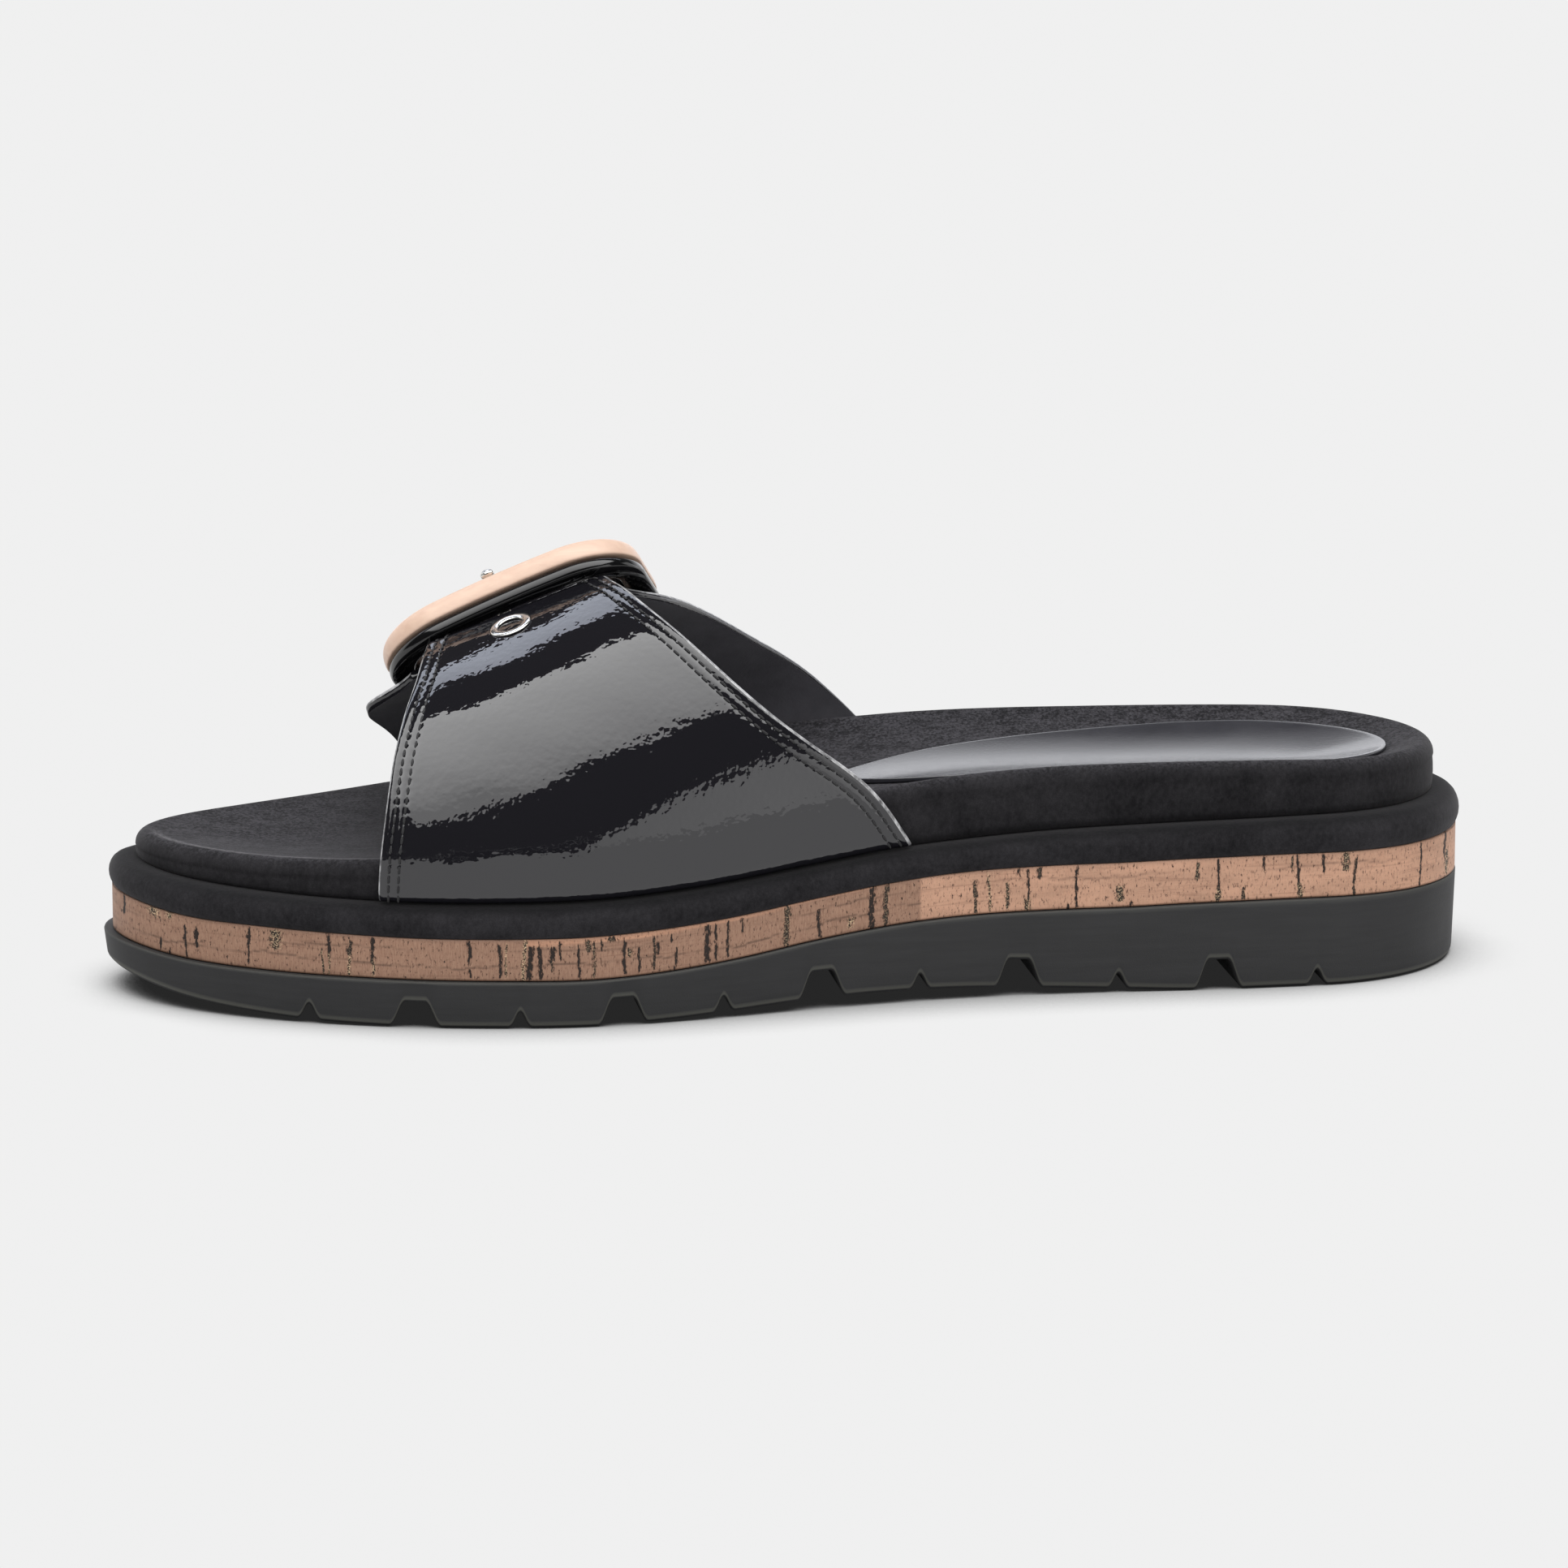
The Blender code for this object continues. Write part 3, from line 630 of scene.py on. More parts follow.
class Look(Tree):
    """Principled material. Its patterns are scaled in features per millimetre."""

    def __init__(self, name, **values):
        self.material = bpy.data.materials.new(name)
        self.material.use_nodes = True
        super().__init__(self.material.node_tree)
        self.shader = self.tree.nodes["Principled BSDF"]
        self.set(**values)

    def set(self, **values):
        for key, value in values.items():
            self.plug(self.shader.inputs[key.replace("_", " ")], value)

    def place(self, stretch=(1.0, 1.0, 1.0)):
        """Object coordinates in millimetres, stretched."""
        coords = self.node("ShaderNodeTexCoord").outputs["Object"]
        size = tuple(1000.0 * s for s in stretch)
        return self.node("ShaderNodeMapping", Vector=coords, Scale=size).outputs["Vector"]

    def noise(self, vector, scale, detail=3.0, roughness=0.55, distortion=0.0):
        made = self.node("ShaderNodeTexNoise", Vector=vector, Scale=scale, Detail=detail, Roughness=roughness,
                         Distortion=distortion)
        return made.outputs["Fac"]

    def field(self, name, output="Fac"):
        return self.node("ShaderNodeAttribute", {"attribute_name": name}).outputs[output]

    def blend(self, share, a, b):
        """Number with a share of a and the rest of b."""
        return self.math("ADD", self.math("MULTIPLY", a, share), self.math("MULTIPLY", b, 1.0 - share))

    def mix(self, share, a, b):
        """Colour with b laid over a by a share."""
        ends = [c if isinstance(c, bpy.types.NodeSocket) else (*c, 1.0) for c in (a, b)]
        return self.node("ShaderNodeMix", {"data_type": "RGBA"}, i0=share, i6=ends[0], i7=ends[1]).outputs[2]

    def bump(self, height, distance, strength=1.0, before=None):
        """Bump of a height in 0 to 1, over a distance in millimetres."""
        made = self.node("ShaderNodeBump", Strength=strength, Distance=distance * MM, Height=height)
        if before is not None:
            self.plug(made.inputs["Normal"], before)
        return made.outputs["Normal"]


def suede_look(name, side, top, nap):
    """Brushed microfibre, with dark and light colours of its sides and of its top. The top's colours are painted light
    and shade, and a painted highlight runs along the cup's rim at the toe.
    """
    look = Look(name, Roughness=0.95, Specular_IOR_Level=0.10, Sheen_Weight=0.30 * nap, Sheen_Roughness=0.45,
                Sheen_Tint=(0.9, 0.88, 0.9, 1.0))
    place = look.place()
    cloud = look.noise(place, 0.07, 4.0, 0.6, 0.6)
    speck = look.noise(look.place((1.0, 1.0, 0.7)), 1.1, 4.0, 0.7)
    fibre = look.noise(place, 4.0, 2.0, 0.6)
    brushed = look.noise(look.place((0.5, 1.0, 1.0)), 0.25, 5.0, 0.75, 0.6)
    tuft = look.noise(place, 1.5, 3.0, 0.7, 0.5)
    patch = look.blend(0.55, cloud, speck)
    felt = look.blend(0.35, brushed, tuft)
    # painted highlight: a light line along the cup's rim at the toe
    rim_highlight = look.math("MULTIPLY", look.field("rim_highlight"), look.remap(tuft, 0.4, 0.6, 0.3, 1.0))
    colour = look.mix(look.remap(patch, 0.36, 0.62), *side)
    # painted light and shade: the top's colours laid over the sides' colours
    colour = look.mix(look.field("top"), colour, look.mix(look.remap(felt, 0.42, 0.59), *top))
    colour = look.mix(rim_highlight, colour, RIM_HIGHLIGHT_COLOUR)
    colour = look.mix(look.remap(fibre, 0.3, 0.7, 0.0, 0.35), colour, tuple(0.45 * c for c in side[0]))
    look.set(Base_Color=colour)
    rough = look.bump(fibre, 0.10 * nap, 0.8)
    look.set(Normal=look.bump(speck, 0.16 * nap, 0.7, rough))
    return look.material


def rubber_look():
    look = Look("rubber", Specular_IOR_Level=0.35)
    place = look.place()
    cloud = look.noise(place, 0.05, 4.0, 0.6)
    grain = look.noise(place, 3.2, 3.0, 0.6)
    drag = look.noise(look.place((0.08, 0.08, 1.0)), 0.9, 3.0, 0.6)
    tone = look.blend(0.6, cloud, drag)
    colour = look.mix(look.remap(tone, 0.35, 0.65), (0.0185, 0.0185, 0.0196), (0.0270, 0.0268, 0.0282))
    # lighter grey line along the bottom edge and the top lip
    colour = look.mix(look.remap(look.field("pale_edge"), 0.0, 1.0, 0.0, 0.75), colour, (0.105, 0.105, 0.090))
    look.set(Base_Color=colour, Roughness=look.remap(cloud, 0.3, 0.7, 0.55, 0.72))
    look.set(Normal=look.bump(grain, 0.05, 0.6))
    return look.material


def cork_look():
    """Sealed cork sheet in two tones, with layers, specks, torn marks and gilt flakes."""
    look = Look("cork", Specular_IOR_Level=0.22)
    sheet = look.field("sheet", "Vector")

    def pattern(along, up, *shape):
        place = look.node("ShaderNodeMapping", Vector=sheet, Scale=(along, up, 1.0)).outputs["Vector"]
        return look.noise(place, 1.0, *shape)

    cloud = pattern(0.10, 0.35, 4.0, 0.6, 0.4)
    layer = pattern(0.05, 1.0, 4.0, 0.65, 0.8)
    weave = pattern(4.0, 0.5, 2.0, 0.6)
    speck = pattern(2.2, 2.2, 3.0, 0.7)
    torn = pattern(2.4, 0.9, 4.0, 0.7)
    glint = pattern(3.4, 3.4, 2.0, 0.5)
    frayed = look.math("ADD", look.field("pit"), look.remap(torn, 0.3, 0.7, -0.7, 0.7))
    pit = look.remap(frayed, 0.40, 0.64)
    gold = look.math("MULTIPLY", look.field("gold"), look.remap(glint, 0.50, 0.58))
    colour = look.mix(look.field("tone"), (0.325, 0.180, 0.120), (0.630, 0.352, 0.235))
    for share, over in (
        (look.field("strip"), (0.640, 0.330, 0.205)),
        (look.remap(cloud, 0.35, 0.65, 0.0, 0.35), (0.240, 0.135, 0.090)),
        (look.remap(weave, 0.30, 0.72, 0.0, 0.28), (0.700, 0.460, 0.320)),
        (look.remap(layer, 0.56, 0.68, 0.0, 0.32), (0.165, 0.080, 0.052)),
        (look.remap(speck, 0.67, 0.76, 0.0, 0.35), (0.120, 0.085, 0.070)),
        (look.field("line"), (0.070, 0.040, 0.030)),
        (look.remap(frayed, 0.10, 0.45, 0.0, 0.5), (0.130, 0.065, 0.045)),
        (pit, (0.026, 0.018, 0.015)),
        (gold, (0.860, 0.640, 0.400)),
    ):
        colour = look.mix(share, colour, over)
    look.set(Base_Color=colour, Metallic=look.math("MULTIPLY", gold, 0.6),
             Roughness=look.remap(gold, 0.0, 1.0, 0.55, 0.3))
    rough = look.bump(weave, 0.03, 0.5)
    look.set(Normal=look.bump(look.math("SUBTRACT", 1.0, pit), 0.10, 0.8, rough))
    return look.material


def pad_look():
    look = Look("pad_leather", IOR=1.7)
    place = look.place()
    cells = look.node("ShaderNodeTexVoronoi", {"feature": "DISTANCE_TO_EDGE"}, Vector=place, Scale=1.25)
    pore = look.remap(cells.outputs["Distance"], 0.0, 0.16)
    cloud = look.noise(place, 0.08, 3.0, 0.6)
    look.set(Base_Color=look.mix(look.remap(cloud, 0.3, 0.7), (0.028, 0.028, 0.034), (0.042, 0.042, 0.050)),
             Roughness=look.remap(cloud, 0.3, 0.7, 0.13, 0.18))
    wave = look.bump(look.noise(place, 0.4, 2.0, 0.5), 0.015, 0.7)
    look.set(Normal=look.bump(pore, 0.006, 0.8, wave))
    return look.material


def patent_look():
    look = Look("patent_leather", Base_Color=(0.0110, 0.0105, 0.0135, 1.0), Roughness=0.04, IOR=1.72)
    place = look.place()
    peel = look.noise(place, 0.35, 1.0, 0.5, 0.3)
    fine = look.noise(place, 0.85, 1.0, 0.4)
    shell = look.bump(peel, 0.040, 1.0)
    look.set(Normal=look.bump(fine, 0.050, 1.0, shell))
    return look.material


def edge_highlight_look():
    """Painted highlight on the rolled edges of the patent leather: a pale line that stands in for the light they
    catch.
    """
    look = Look("patent_edge_highlight", Roughness=0.3, IOR=1.6)
    pale_edge = look.noise(look.place(), 0.5, 3.0, 0.6)
    look.set(Base_Color=look.mix(look.remap(pale_edge, 0.35, 0.65), (0.10, 0.10, 0.105), (0.62, 0.62, 0.63)))
    return look.material


def lining_look():
    look = Look("strap_lining", Roughness=0.75, Specular_IOR_Level=0.25, Sheen_Weight=0.15)
    place = look.place()
    grain = look.noise(place, 1.8, 3.0, 0.6)
    cloud = look.noise(place, 0.12, 3.0, 0.6)
    look.set(Base_Color=look.mix(look.remap(cloud, 0.3, 0.7), (0.078, 0.076, 0.087), (0.120, 0.116, 0.132)))
    look.set(Normal=look.bump(grain, 0.06, 0.7))
    return look.material


def gloss_look():
    look = Look("black_gloss", Base_Color=(0.005, 0.005, 0.0055, 1.0), IOR=1.6)
    haze = look.noise(look.place(), 0.4, 3.0, 0.6)
    look.set(Roughness=look.remap(haze, 0.3, 0.7, 0.06, 0.12))
    look.set(Normal=look.bump(haze, 0.01, 0.6))
    return look.material


def beige_look():
    look = Look("beige_gloss", Specular_IOR_Level=0.5)
    place = look.place()
    turned = look.node("ShaderNodeMapping", Vector=place, Rotation=(0.0, math.radians(-BUCKLE_PITCH), 0.0),
                       Scale=(0.07, 0.7, 0.7)).outputs["Vector"]
    streak = look.noise(turned, 1.0, 5.0, 0.65, 0.3)
    fleck = look.noise(place, 0.9, 3.0, 0.6)
    colour = look.mix(look.remap(streak, 0.3, 0.7), (0.835, 0.570, 0.432), (0.935, 0.670, 0.517))
    look.set(Base_Color=colour, Roughness=look.remap(fleck, 0.3, 0.7, 0.28, 0.42))
    look.set(Normal=look.bump(streak, 0.02, 0.5))
    return look.material


def metal_look():
    look = Look("bright_metal", Metallic=1.0)
    brush = look.noise(look.place(), 2.0, 3.0, 0.6)
    look.set(Base_Color=look.mix(look.remap(brush, 0.3, 0.7), (0.66, 0.65, 0.62), (0.82, 0.81, 0.78)),
             Roughness=look.remap(brush, 0.3, 0.7, 0.12, 0.24))
    look.set(Normal=look.bump(brush, 0.01, 0.5))
    return look.material


def thread_look():
    look = Look("thread", Roughness=0.6, Specular_IOR_Level=0.4, Sheen_Weight=0.1)
    twist = look.noise(look.place(), 6.0, 2.0, 0.6)
    look.set(Base_Color=look.mix(twist, (0.008, 0.008, 0.009), (0.026, 0.025, 0.027)))
    look.set(Normal=look.bump(twist, 0.05, 0.8))
    return look.material


def floor_look():
    """Even pale floor that darkens only where the shoe shades it."""
    look = Look("floor", Base_Color=(0.0, 0.0, 0.0, 1.0), Roughness=1.0, Specular_IOR_Level=0.0,
                Emission_Color=(1.0, 1.0, 1.0, 1.0))
    open_air = look.node("ShaderNodeAmbientOcclusion", {"samples": 12}, Distance=SHADE_REACH).outputs["AO"]
    look.set(Emission_Strength=look.remap(open_air, 0.28, 0.74, 0.02, BACKDROP))
    return look.material


# Sole


def groove_depth(x):
    """Depth of the cross grooves, with their corners rounded."""
    corners = []
    for k in range(GROOVE_COUNT):
        centre = GROOVE_START + k * GROOVE_PITCH
        if k % 2 == 0:
            mouth, floor, depth = SMALL_MOUTH, SMALL_FLOOR, SMALL_DEPTH
        else:
            mouth, floor = WIDE_MOUTH, WIDE_FLOOR
            depth = WIDE_DEPTH_TOE + (WIDE_DEPTH_HEEL - WIDE_DEPTH_TOE) * k / (GROOVE_COUNT - 1)
        corners += [(centre - mouth / 2.0, 0.0), (centre - floor / 2.0, depth)]
        corners += [(centre + floor / 2.0, depth), (centre + mouth / 2.0, 0.0)]
    corners = np.array(corners)
    near = np.linspace(-GROOVE_ROUND, GROOVE_ROUND, 7)
    return np.mean([np.interp(x + d, corners[:, 0], corners[:, 1]) for d in near], axis=0)


def build_sole(look):
    angles = turn(SOLE_POINTS)
    ahead = np.array((SOLE_SHIFT, 0.0))
    rings = []
    for angle in np.radians(np.linspace(0.0, 90.0, len(SOLE_EDGE_PALE))):
        loop = ring(angles, SOLE_EDGE * (1.0 - math.sin(angle))) + ahead
        low = np.maximum(level(LIFT, loop[:, 0]), 0.0) + groove_depth(loop[:, 0])
        rings.append(lifted(loop, low + SOLE_EDGE * (1.0 - math.cos(angle))))
    foot = rings[-1][:, 2]
    for share in SOLE_WALL:
        loop = ring(angles, SOLE_FLARE * share) + ahead
        top = level(RUBBER_TOP, loop[:, 0]) - SOLE_BRIM[0][1]
        rings.append(lifted(loop, foot + (top - foot) * share))
    for inset, drop, _ in SOLE_BRIM:
        loop = ring(angles, inset) + ahead
        rings.append(lifted(loop, level(RUBBER_TOP, loop[:, 0]) - drop))
    pale_edge = [*SOLE_EDGE_PALE, *(0.0 for _ in SOLE_WALL), *(paleness for _, _, paleness in SOLE_BRIM)]
    fields = {"pale_edge": np.repeat(pale_edge, SOLE_POINTS)}
    piece("sole_rubber", *sole_solid(rings), [look], ("outsole",), "rubber", fields=fields)


def cork_crack(share, height, strength):
    return np.clip(1.5 - np.abs(share - height) / CORK_CRACK, 0.0, 1.0) * strength


def cork_fields(x, side, share):
    """Marks, tone, strip and cracks along the cork sheet at a share of its height."""
    rng = np.random.default_rng(CORK_SEED)
    place = np.where(side, x, -0.93 * x + 6.0)  # the far side has the near side's marks, turned round
    pit = np.zeros_like(x)
    gold = np.zeros_like(x)
    for mark_x, top, bottom, width, shine in CORK_MARKS:
        phase, lean = rng.uniform(0.0, 6.3), rng.uniform(-0.35, 0.35)
        centre = mark_x + lean * (share - 0.5) + 0.12 * np.sin(5.0 * share + phase)
        reach = np.abs(place - centre) / (CORK_MARK_WIDTH * width / 2.0)
        inside = window((bottom - 0.07, bottom + 0.05, top - 0.05, top + 0.07), share)
        mark = np.clip(1.1 - 0.6 * reach, 0.0, 1.0) * inside
        pit = np.maximum(pit, mark * (1.0 - 0.35 * shine))
        gold = np.maximum(gold, mark * shine)
    first, second = CORK_JOINTS
    tone = ease(second - 0.3, second + 0.3, place)
    strip_low = 0.83 + 0.10 * (place - first) / 45.0
    strip = (place > first + 0.5) * (place < second) * ease(strip_low, strip_low + 0.03, share)
    lower = 0.36 + 0.05 * np.sin(place * 0.11) + 0.025 * np.sin(place * 0.47) + 0.015 * np.sin(place * 1.3)
    upper = 0.72 + 0.04 * np.sin(place * 0.2) + 0.02 * np.sin(place * 0.9)
    line = cork_crack(share, lower, (place < second + 0.2) * (0.55 + 0.3 * np.sin(place * 0.35)))
    line += cork_crack(share, upper, 0.26 + 0.24 * np.sin(place * 0.13 + 1.0))
    brink = ease(0.93, 1.0, share) * 0.35 + (1.0 - ease(0.0, 0.05, share)) * 0.45
    sheet = np.column_stack((place, np.full_like(place, share * CORK_HEIGHT), np.where(side, 20.0, -20.0)))
    return {"pit": pit, "gold": gold, "tone": tone, "strip": strip, "line": np.clip(line, 0.0, 0.6) + brink,
            "sheet": sheet}


def build_cork(look):
    angles = turn(CORK_POINTS)
    loop = ring(angles, CORK_INSET)
    low = level(RUBBER_TOP, loop[:, 0]) + CORK_OVER_RUBBER
    high = level(CORK_TOP, loop[:, 0]) + CORK_OVER_TOP
    shares = np.linspace(0.0, 1.0, CORK_ROWS)
    rings = [lifted(loop, low + (high - low) * share) for share in shares]
    found = [cork_fields(loop[:, 0], angles < math.pi, share) for share in shares]
    fields = {key: np.concatenate([row[key] for row in found]) for key in found[0]}
    piece("cork_sheet", *sole_solid(rings), [look], ("cork_band",), "cork", fields=fields)


def build_wrap(look):
    angles = turn(WRAP_POINTS)
    rings = []
    for inset, share in WRAP_RINGS:
        loop = ring(angles, inset)
        low = level(CORK_TOP, loop[:, 0]) + WRAP_OVER_TOP
        high = level(LEDGE, loop[:, 0])
        rings.append(lifted(loop, low + (high - low) * share))
    # painted shade: the ledge's upward face takes the darker top colours
    top = np.repeat([ease(0.72, 0.98, share) for _, share in WRAP_RINGS], WRAP_POINTS)
    piece("platform_cover", *sole_solid(rings), [look], ("platform_wrap",), "microfibre", fields={"top": top})


def cup_ring(angles, shares):
    """Ring on the hollow of the footbed at shares of the way from the rim to its spine."""
    rim = ring(angles, FOOTBED_INSET + FOOTBED_SHOULDER[0])
    x = -LENGTH / 2.0 * np.cos(angles)
    inner, outer = half_widths(x)
    spine = np.column_stack((x * SPINE_SQUEEZE, (outer - inner) / 2.0))
    shares = np.broadcast_to(shares, len(rim))
    loop = rim + (spine - rim) * shares[:, None]
    drop = level(CUP_DEPTH, loop[:, 0]) * (1.0 - (1.0 - shares) ** CUP_POWER)
    return lifted(loop, level(RIM, loop[:, 0]) - drop)


def build_footbed(look):
    angles = turn(FOOTBED_POINTS)
    low = level(LEDGE, ring(angles, FOOTBED_INSET)[:, 0]) + GAP
    side, drop = FOOTBED_SHOULDER
    rings = []
    for share in FOOTBED_WALL:
        loop = ring(angles, FOOTBED_INSET + FOOTBED_BULGE * (1.0 - math.sin(math.pi * share)))
        top = level(RIM, loop[:, 0]) - drop
        rings.append(lifted(loop, low + (top - low) * share))
    for angle in np.radians(np.linspace(0.0, SHOULDER_END, SHOULDER_RINGS)):
        loop = ring(angles, FOOTBED_INSET + side * (1.0 - math.cos(angle)))
        rings.append(lifted(loop, level(RIM, loop[:, 0]) - drop * (1.0 - math.sin(angle))))
    shares = np.concatenate((np.linspace(0.0, 0.3, 12), np.linspace(0.34, 0.97, 18)))
    rings += [cup_ring(angles, share) for share in shares]
    x, y = np.vstack(rings)[:, :2].T
    wall = np.zeros(len(FOOTBED_WALL))
    shoulder = np.linspace(0.0, 1.0, SHOULDER_RINGS)
    # painted light: the footbed's top takes lighter colours than its walls
    top = np.concatenate((wall, shoulder ** 2, np.ones_like(shares)))
    # painted shade next to and under the strap's front, taking away part of the top's painted light
    strap_shade = 1.0 - STRAP_SHADE_DEPTH * bell(x, *STRAP_SHADE_SPAN)
    # painted highlight along the cup's rim, near the toe on the inner side
    rim_highlight = np.concatenate((wall, 0.0 * shoulder, bell(shares, *RIM_HIGHLIGHT)))
    near_toe = (1.0 - ease(-80.0, -60.0, x)) * (1.0 - ease(-10.0, 5.0, y))
    fields = {"top": np.repeat(top, FOOTBED_POINTS) * strap_shade, "rim_highlight": np.repeat(rim_highlight, FOOTBED_POINTS) * near_toe}
    made = piece("footbed_cover", *sole_solid(rings), [look], ("footbed",), "microfibre", fields=fields)


def build_pad(look):
    first = math.acos(1.0 - 2.0 * PAD_EDGE[0][0])
    angles = np.linspace(first, 2.0 * math.pi - first, PAD_POINTS)
    edge = column(PAD_EDGE, 1, (1.0 - np.cos(angles)) / 2.0)
    top = GAP + PAD_THICKNESS
    profile = [(share, PAD_SEAT) for share in np.linspace(1.0, 0.0, 10)]
    profile += [(share, top * rise) for share, rise in PAD_ROLL]
    profile += [(share, top) for share in np.linspace(0.06, 1.0, 26)]
    rings = [cup_ring(angles, edge + (PAD_SPINE - edge) * share) + (0.0, 0.0, rise) for share, rise in profile]
    faces = wall_faces(len(rings), PAD_POINTS)
    i = np.arange(PAD_POINTS // 2 - 1)
    cap = np.stack((i, i + 1, PAD_POINTS - 2 - i, PAD_POINTS - 1 - i), axis=-1)
    faces += flipped(cap.tolist()) + (cap + (len(rings) - 1) * PAD_POINTS).tolist()
    piece("pad_cover", np.vstack(rings), faces, [look], ("heel_pad",), "pad_leather")


# Strap


def foot_point(across, height, x):
    inner, outer = half_widths(x)
    reach = np.where(across < 0.0, inner, outer) - STRAP_INSET
    low = level(LEDGE, x) + GAP
    crest = column(INSTEP, 1, x)
    return np.stack(np.broadcast_arrays(x, across * reach, low + height * (crest - low)), axis=-1)


def strap_column(index, position):
    return column(numbered(STRAP), index, position)


def strap_points(position, x):
    """Points of the foot surface for an array of table rows and a grid of x."""
    across, at_front, at_rear, front, rear = (
        strap_column(c, position)[:, None] for c in (ACROSS, FRONT_HEIGHT, REAR_HEIGHT, FRONT, REAR))
    height = at_front + (at_rear - at_front) * (x - front) / (rear - front)
    return foot_point(across, height, x)


def even_rows(first, last):
    """Table rows at an even spacing over the strap's middle line."""
    fine = np.linspace(first, last, 600)
    middle = (strap_column(FRONT, fine) + strap_column(REAR, fine)) / 2.0
    run = run_along(strap_points(fine, middle[:, None])[:, 0])
    return np.interp(np.linspace(0.0, run[-1], int(run[-1] / ROW_STEP) + 1), run, fine)


def softened(grid, sigma):
    """Grid smoothed along its rows, with both ends kept in place."""
    reach = int(3 * sigma)
    weights = np.exp(-0.5 * (np.arange(-reach, reach + 1) / sigma) ** 2)
    weights /= weights.sum()
    head = 2.0 * grid[:1] - grid[reach:0:-1]
    tail = 2.0 * grid[-1:] - grid[-2:-reach - 2:-1]
    long = np.concatenate((head, grid, tail))
    return sum(w * long[i:i + len(grid)] for i, w in enumerate(weights))


def edge_scale(position, edge_x, inward):
    """Step in x that moves one millimetre away from an edge of the strap."""
    here = strap_points(position, edge_x[:, None])[:, 0]
    there = strap_points(position, (edge_x + inward)[:, None])[:, 0]
    along = unit(np.gradient(here, axis=0))
    out = there - here
    apart = np.linalg.norm(out - (out * along).sum(axis=1, keepdims=True) * along, axis=1)
    return 1.0 / np.clip(apart, 0.4, 2.0)


def panel_columns(position, front, rear):
    """Grid of x, fine at both edges, and how far each column lies from its edge."""
    steps = np.array(EDGE_STEPS)
    near = edge_scale(position, front, 1.0)[:, None] * steps
    far = edge_scale(position, rear, -1.0)[:, None] * steps
    width = (rear - front)[:, None]
    fit = np.minimum(1.0, EDGE_SHARE * width / np.maximum(near[:, -1:], far[:, -1:]))
    near, far = near * fit, far * fit
    inside = np.linspace(0.0, 1.0, MIDDLE_COLUMNS + 2)[1:-1]
    middle = (front[:, None] + near[:, -1:]) + (width - near[:, -1:] - far[:, -1:]) * inside
    x = np.concatenate((front[:, None] + near, middle, rear[:, None] - far[:, ::-1]), axis=1)
    away = np.concatenate((steps, np.full(MIDDLE_COLUMNS, np.inf), steps[::-1]))
    return x, away


def panel_relief(base, x, away, sewn, tucked):
    """Height of the rolled edges, sewn channels, faint ripples and tucked lower end."""
    rolled = np.clip(EDGE_ROUND - away, 0.0, None)
    rise = np.tile(np.sqrt(EDGE_ROUND ** 2 - rolled ** 2) - EDGE_ROUND, (len(x), 1))
    edge, columns = len(EDGE_STEPS), len(away)
    for band, line in ((slice(0, edge), base[:, 0]), (slice(columns - edge, columns), base[:, -1])):
        beat = 0.65 + 0.35 * np.cos(2.0 * math.pi * run_along(line) / STITCH_PITCH)[:, None]
        for seam in SEAM_PLACES:
            rise[:, band] -= SEAM_DEPTH * sewn * beat * bell(away[band], seam, SEAM_HALF)
        for ridge, height in SEAM_RIDGES:
            rise[:, band] += height * sewn * bell(away[band], ridge, RIDGE_HALF)
    run = run_along(base[:, columns // 2])[:, None]
    rise += RIPPLE * np.sin(x / 3.6 + run / 7.0) * np.sin(run / 3.1 + 0.6)
    if tucked:
        tuck = np.clip(END_TUCK - run, 0.0, None)
        rise -= 0.5 * (END_TUCK - np.sqrt(END_TUCK ** 2 - tuck ** 2))
    return rise


def panel_faces(rows, columns):
    """Faces of the outer skin, the lining under it and the edge all round."""
    count = rows * columns
    skin = wall_faces(rows, columns, closed=False)
    under = [tuple(count + i for i in reversed(face)) for face in skin]
    rim = list(range(columns))
    rim += [r * columns + columns - 1 for r in range(1, rows)]
    rim += [(rows - 1) * columns + c for c in range(columns - 2, -1, -1)]
    rim += [r * columns for r in range(rows - 2, 0, -1)]
    brink = [(b, a, count + a, count + b) for a, b in zip(rim, rim[1:] + rim[:1])]
    return skin, under, brink


